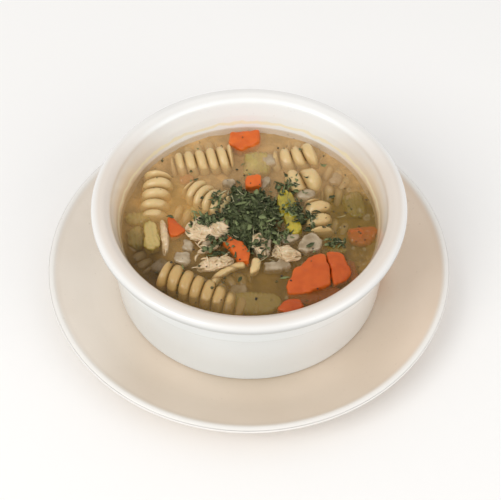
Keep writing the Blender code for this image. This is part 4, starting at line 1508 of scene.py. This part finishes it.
class SOUP_OT_sunken(bpy.types.Operator):
    """Lays the pieces that show dimly under the surface: noodles, celery, carrot and onion."""

    bl_idname = "soup.sunken"
    bl_label = "Sunken pieces"

    def execute(self, context):
        props = context.scene.soup_pasta
        runs = (
            ((30, 18.6, -6.4), (45, 13.0, -8.0), (0, 1.0, 0)),
            ((-15, -33.6, -8.4), (1.4, -26.0, -8.4), (-1.6, 1.6, 0)),
            ((-32, 8.0, -7.0), (-16, -1.0, -8.2), (0, 1.0, 0)),
            ((-30, 41.0, -7.4), (-14, 46.0, -8.2), (0, 0.6, 0)),
            ((16, 45.6, -7.6), (33, 38.0, -7.4), (0, 1.2, 0)),
            ((32, 31.0, -7.2), (43, 22.0, -7.8), (0.6, 0.6, 0)),
            ((-48, -8.0, -8.0), (-40, -24.0, -8.2), (-0.6, -0.4, 0)),
            ((6, -36.0, -8.2), (20, -46.0, -8.4), (0, -0.6, 0)),
            ((-26, -42.0, -8.4), (-12, -30.0, -8.0), (0, 0.6, 0)),
            ((28, 4.0, -8.0), (42, -2.0, -8.2), (0, 0.6, 0)),
        )
        forms = []
        for i, (start, end, bow) in enumerate(runs):
            line = bent_line(start, end, bow, 90)
            forms.append(self.swept(line, (5.5 * MM, props.spacing, props.groove, 2.1 * i, 2.4, i), 60))
        line = bent_line((-14.6, -31.6, -1.1), (-1.4, -22.2, -0.7), (-1.5, 1.5, 0), 60)
        forms.append(self.swept(line, (1.7 * MM, 9 * MM, 0.4 * MM, 0.0, 2.0, 4), 30))
        points, faces, crest = joined(forms)
        marks = {"crest": crest, "soak": np.full(len(points), 0.25)}
        add_piece("sunken_noodles", points, faces, bpy.data.materials["cooked_pasta"], None, "pasta", marks)
        self.blocks(
            "sunken_celery",
            "cooked_celery",
            "celery",
            (
                ((-46.0, 2.6, -0.7), (10.5, 5.5, 4.0), 4, 0.6),
                ((-46.2, -7.2, -1.3), (7.0, 11.0, 4.0), 8, 0.8),
                ((44.2, 12.0, -2.7), (9.0, 15.0, 4.0), 6, 0.9),
                ((3.0, -39.8, -1.9), (19.0, 10.0, 3.0), 3, 0.5),
                ((-21.0, 8.0, -2.2), (9.0, 6.0, 3.0), 30, 0.3),
                ((36.0, -13.4, -1.1), (8.0, 3.6, 3.0), -20, 0.95),
            ),
            ribs=(1.8 * MM, 0.35 * MM, 0.0),
        )
        self.blocks(
            "sunken_carrot",
            "cooked_carrot",
            "carrot",
            (
                ((46.6, -5.8, -0.75), (12.0, 8.4, 4.6), -4, 0.25),
                ((26.6, -36.4, -1.5), (19.0, 7.0, 4.0), 10, 1.0),
                ((41.0, -24.0, -1.5), (6.0, 12.0, 4.0), 10, 1.0),
                ((40.6, -35.0, -2.0), (6.0, 5.0, 4.0), 50, 0.9),
                ((-27.0, 26.0, -3.0), (7.0, 5.0, 3.0), 20, 0.6),
            ),
        )
        self.blocks(
            "sunken_onion",
            "cooked_onion",
            "onion",
            (
                ((20.0, 26.0, -1.6), (8.0, 6.0, 2.6), 30, 0.5),
                ((-20.0, -28.6, -1.6), (7.0, 5.0, 2.6), -20, 0.5),
                ((-36.0, -21.0, -2.2), (8.0, 6.0, 2.6), 50, 0.5),
                ((28.0, -20.6, -1.0), (7.0, 4.6, 2.6), 10, 0.5),
                ((-4.0, -33.6, -2.0), (8.0, 5.4, 2.6), 10, 0.5),
                ((37.0, 25.6, -1.6), (7.0, 5.0, 2.6), 60, 0.5),
            ),
        )
        return {"FINISHED"}

    def swept(self, line, form, columns):
        """Points, faces and marks of a corkscrew (radius, spacing, groove, start, fullness, seed)."""
        side, up, _ = directions(line)
        rings, crest = corkscrew(line, side, up, *form, columns=columns)
        points, faces = capped(rings)
        return points, faces, with_poles(crest)

    def blocks(self, name, material, slot, places, ribs=None):
        """Loose blocks ((top's middle), (length, width, height), heading, tone) as one piece."""
        forms, tones = [], []
        for i, (place, size, turn, tone) in enumerate(places):
            section = block_section(place, size, turn, seed=i)
            form = cut_form(section, 1.0 * MM, 0.4 * MM, 0.4 * MM, ribs, i + 80)
            forms.append(form)
            tones.append(np.full(len(form[0]), tone))
        points, faces, rim = joined(forms)
        marks = {"rim": rim, "tone": np.concatenate(tones)}
        add_piece(name, points, faces, bpy.data.materials[material], None, slot, marks)


class SOUP_OT_broth(bpy.types.Operator):
    """Pours the broth: a cloudy body to the walls, and a skin that climbs at every waterline."""

    bl_idname = "soup.broth"
    bl_label = "Broth"

    def execute(self, context):
        props = context.scene.soup_broth
        wall = SOUP_RADIUS + 0.6 * MM
        foot = BROTH_LOW.z - 0.1 * MM
        rows, side_rows, columns = 60, 8, 240
        around = np.linspace(0, 2 * np.pi, columns, endpoint=False)
        inner = np.linspace(0.04, 1, rows)
        top = np.empty((rows, columns, 3))
        top[..., 0] = wall * inner[:, None] * np.cos(around)
        top[..., 1] = wall * inner[:, None] * np.sin(around)
        top[..., 2] = 0
        depth = props.clear_depth * (1 - 0.45 * smoothstep(0.86, 1.0, inner))[:, None]
        clouds = waves(top, 13 * MM, 3) * 0.5 * MM + waves(top, 4 * MM, 8) * 0.25 * MM
        top[..., 2] = props.level - depth + clouds
        side_share = np.linspace(0.05, 1, side_rows)[:, None]
        side = np.empty((side_rows, columns, 3))
        radius = wall - (wall - (SOUP_RADIUS - 4.9 * MM)) * side_share
        side[..., 0], side[..., 1] = radius * np.cos(around), radius * np.sin(around)
        side[..., 2] = top[-1:, :, 2] + (foot - top[-1:, :, 2]) * side_share
        under = side[-1:] * (0.5, 0.5, 1.0)
        points, faces = capped(np.concatenate([top, side, under]))
        add_piece("broth_body", points, faces, broth_body(), "broth", "broth")
        self.pour_skin(props, SOUP_RADIUS + 0.75 * MM)
        return {"FINISHED"}

    def pour_skin(self, props, wall):
        """A closed sheet: its top rises by climb exp(-(d / reach) ** 2) at a distance d from a waterline."""
        rows, columns = 118, 400
        around = np.linspace(0, 2 * np.pi, columns, endpoint=False)
        share = np.linspace(0.012, 1, rows) ** 0.85
        flat = np.stack([share[:, None] * np.cos(around), share[:, None] * np.sin(around)], -1) * wall
        places = flat.reshape(-1, 2)
        climb = 0.9 * MM * np.exp(-((wall - np.linalg.norm(places, axis=1)) / (0.9 * MM)))
        lines = []
        for piece in bpy.data.objects:
            if piece.get("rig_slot") in WETTED_SLOTS:
                points = mesh_points(piece.data)
                lines.append(points[np.abs(points[:, 2] - props.level) < 0.22 * MM][::2, :2])
        lines = np.concatenate(lines)
        nearest = np.full(len(places), 1.0)
        for start in range(0, len(places), 400):
            part = places[start : start + 400]
            nearest[start : start + 400] = np.sqrt(((part[:, None] - lines[None]) ** 2).sum(-1).min(1))
        climb += 0.42 * MM * np.exp(-((nearest / (0.75 * MM)) ** 2))
        ripple = waves(np.column_stack([places, places[:, 0] * 0]), 9 * MM, 12) * 0.05 * MM
        top = np.column_stack([places, props.level + climb + ripple]).reshape(rows, columns, 3)
        below = top[::-1] - (0, 0, props.skin)
        points, faces = capped(np.concatenate([top, below]))
        add_piece("broth_skin", points, faces, broth_skin(), "broth", "broth")


class SOUP_OT_oil(bpy.types.Operator):
    """Floats drops of oil on the broth."""

    bl_idname = "soup.oil"
    bl_label = "Oil"

    def execute(self, context):
        rng = np.random.default_rng(33)
        angle = rng.uniform(-0.75, 0.75, 60)
        reach = SOUP_RADIUS - rng.exponential(4.5 * MM, 60) - 0.8 * MM
        ring = np.stack([reach * np.cos(angle), reach * np.sin(angle)], -1)
        wide = in_disc(34, SOUP_RADIUS - 2 * MM, rng)
        places = np.concatenate([ring, wide])
        places = places[surface_height(places, 1.2 * MM) < LEVEL + 0.12 * MM]
        sizes = rng.lognormal(math.log(0.55 * MM), 0.45, len(places)).clip(0.2 * MM, 1.8 * MM)
        share = np.array([0.55, 1.0, 0.96, 0.7, 0.35])
        lift = np.array([-0.10, 0.0, 0.07, 0.17, 0.24])
        around = np.linspace(0, 2 * np.pi, 12, endpoint=False)
        shape = np.empty((5, 12, 3))
        shape[..., 0], shape[..., 1] = share[:, None] * np.cos(around), share[:, None] * np.sin(around)
        shape[..., 2] = lift[:, None]
        drop, faces = capped(shape)
        points = drop[None] * sizes[:, None, None]
        points[..., :2] += places[:, None]
        points[..., 2] += LEVEL + 0.06 * MM
        faces = repeated(faces, len(places), len(drop))
        add_piece("oil_drops", points.reshape(-1, 3), faces, oil(), None, "broth")
        return {"FINISHED"}


class SOUP_OT_stage(bpy.types.Operator):
    """Sets the pale floor, the soft lights and the camera."""

    bl_idname = "soup.stage"
    bl_label = "Stage"

    def execute(self, context):
        props = context.scene.soup_stage
        scene = context.scene
        scene.view_settings.view_transform = "Standard"
        world = bpy.data.worlds.new("studio")
        scene.world = world
        world.use_nodes = True
        background = world.node_tree.nodes["Background"]
        background.inputs["Color"].default_value = (1.0, 0.985, 0.965, 1.0)
        background.inputs["Strength"].default_value = props.surround

        corners = [(x * FLOOR_HALF, y * FLOOR_HALF, 0) for x, y in ((-1, -1), (1, -1), (1, 1), (-1, 1))]
        mesh = bpy.data.meshes.new("floor")
        mesh.from_pydata(corners, [], [(0, 1, 2, 3)])
        made, _, shader, _ = new_material("pale_floor", 0.9, specular_ior_level=0.0)
        shader.inputs["Base Color"].default_value = (*props.floor, 1.0)
        mesh.materials.append(made)
        floor = bpy.data.objects.new("floor", mesh)
        scene.collection.objects.link(floor)

        self.light("key", (-0.72, -0.62, 0.90), 0.65, props.key, (1.0, 0.98, 0.95))
        self.light("fill", (0.80, -0.70, 0.66), 0.9, props.key * 0.52, (1.0, 0.98, 0.96))

        rim_middle = Vector((0.0, 0.0, BOWL_HIGH.z - 1.5 * MM))
        back = Vector((0.0, -math.cos(props.elevation), math.sin(props.elevation)))
        camera = bpy.data.objects.new("camera", bpy.data.cameras.new("camera"))
        scene.collection.objects.link(camera)
        camera.location = rim_middle + back * props.distance
        aim = rim_middle + Vector((0.576 * MM, -25.4 * MM, 0.0))
        turn = (aim - camera.location).to_track_quat("-Z", "Y")
        camera.rotation_mode = "QUATERNION"
        camera.rotation_quaternion = turn @ Quaternion((0, 0, 1), props.roll)
        camera.data.lens = props.lens
        camera.data.sensor_width = 36.0
        camera.data.clip_start, camera.data.clip_end = 0.01, 20.0
        scene.camera = camera
        return {"FINISHED"}

    def light(self, name, place, size, power, colour):
        """A square soft light aimed at the bowl."""
        data = bpy.data.lights.new(name, "AREA")
        data.size = size
        data.energy = power
        data.color = colour
        made = bpy.data.objects.new(name, data)
        bpy.context.scene.collection.objects.link(made)
        made.location = place
        made.rotation_mode = "QUATERNION"
        made.rotation_quaternion = (Vector((0, 0, LEVEL)) - made.location).to_track_quat("-Z", "Y")


PROPERTIES = (
    ("soup_crockery", SoupCrockery),
    ("soup_broth", SoupBroth),
    ("soup_pasta", SoupPasta),
    ("soup_garden", SoupGarden),
    ("soup_stage", SoupStage),
)
OPERATORS = (
    SOUP_OT_saucer,
    SOUP_OT_bowl,
    SOUP_OT_noodles,
    SOUP_OT_carrots,
    SOUP_OT_celery,
    SOUP_OT_onions,
    SOUP_OT_chicken,
    SOUP_OT_parsley,
    SOUP_OT_seasoning,
    SOUP_OT_sunken,
    SOUP_OT_broth,
    SOUP_OT_oil,
    SOUP_OT_stage,
)


class SOUP_PT_panel(bpy.types.Panel):
    """Lists the settings and the pieces."""

    bl_idname = "SOUP_PT_panel"
    bl_label = "Chicken noodle soup"
    bl_space_type = "VIEW_3D"
    bl_region_type = "UI"
    bl_category = "Soup"

    def draw(self, context):
        for label, group in PROPERTIES:
            box = self.layout.box()
            for name in group.__annotations__:
                box.prop(getattr(context.scene, label), name)
        for operator in OPERATORS:
            self.layout.operator(operator.bl_idname)


def register():
    """Adds the settings, the operators and the panel."""
    for label, group in PROPERTIES:
        bpy.utils.register_class(group)
        setattr(bpy.types.Scene, label, bpy.props.PointerProperty(type=group))
    for kind in (*OPERATORS, SOUP_PT_panel):
        bpy.utils.register_class(kind)


def unregister():
    """Takes away what register added, last first."""
    for kind in (SOUP_PT_panel, *reversed(OPERATORS)):
        bpy.utils.unregister_class(kind)
    for label, group in reversed(PROPERTIES):
        delattr(bpy.types.Scene, label)
        bpy.utils.unregister_class(group)


def main():
    """Builds every piece in order."""
    register()
    for operator in OPERATORS:
        part, name = operator.bl_idname.split(".")
        getattr(getattr(bpy.ops, part), name)()
    bpy.context.view_layer.update()


if __name__ == "__main__":
    main()
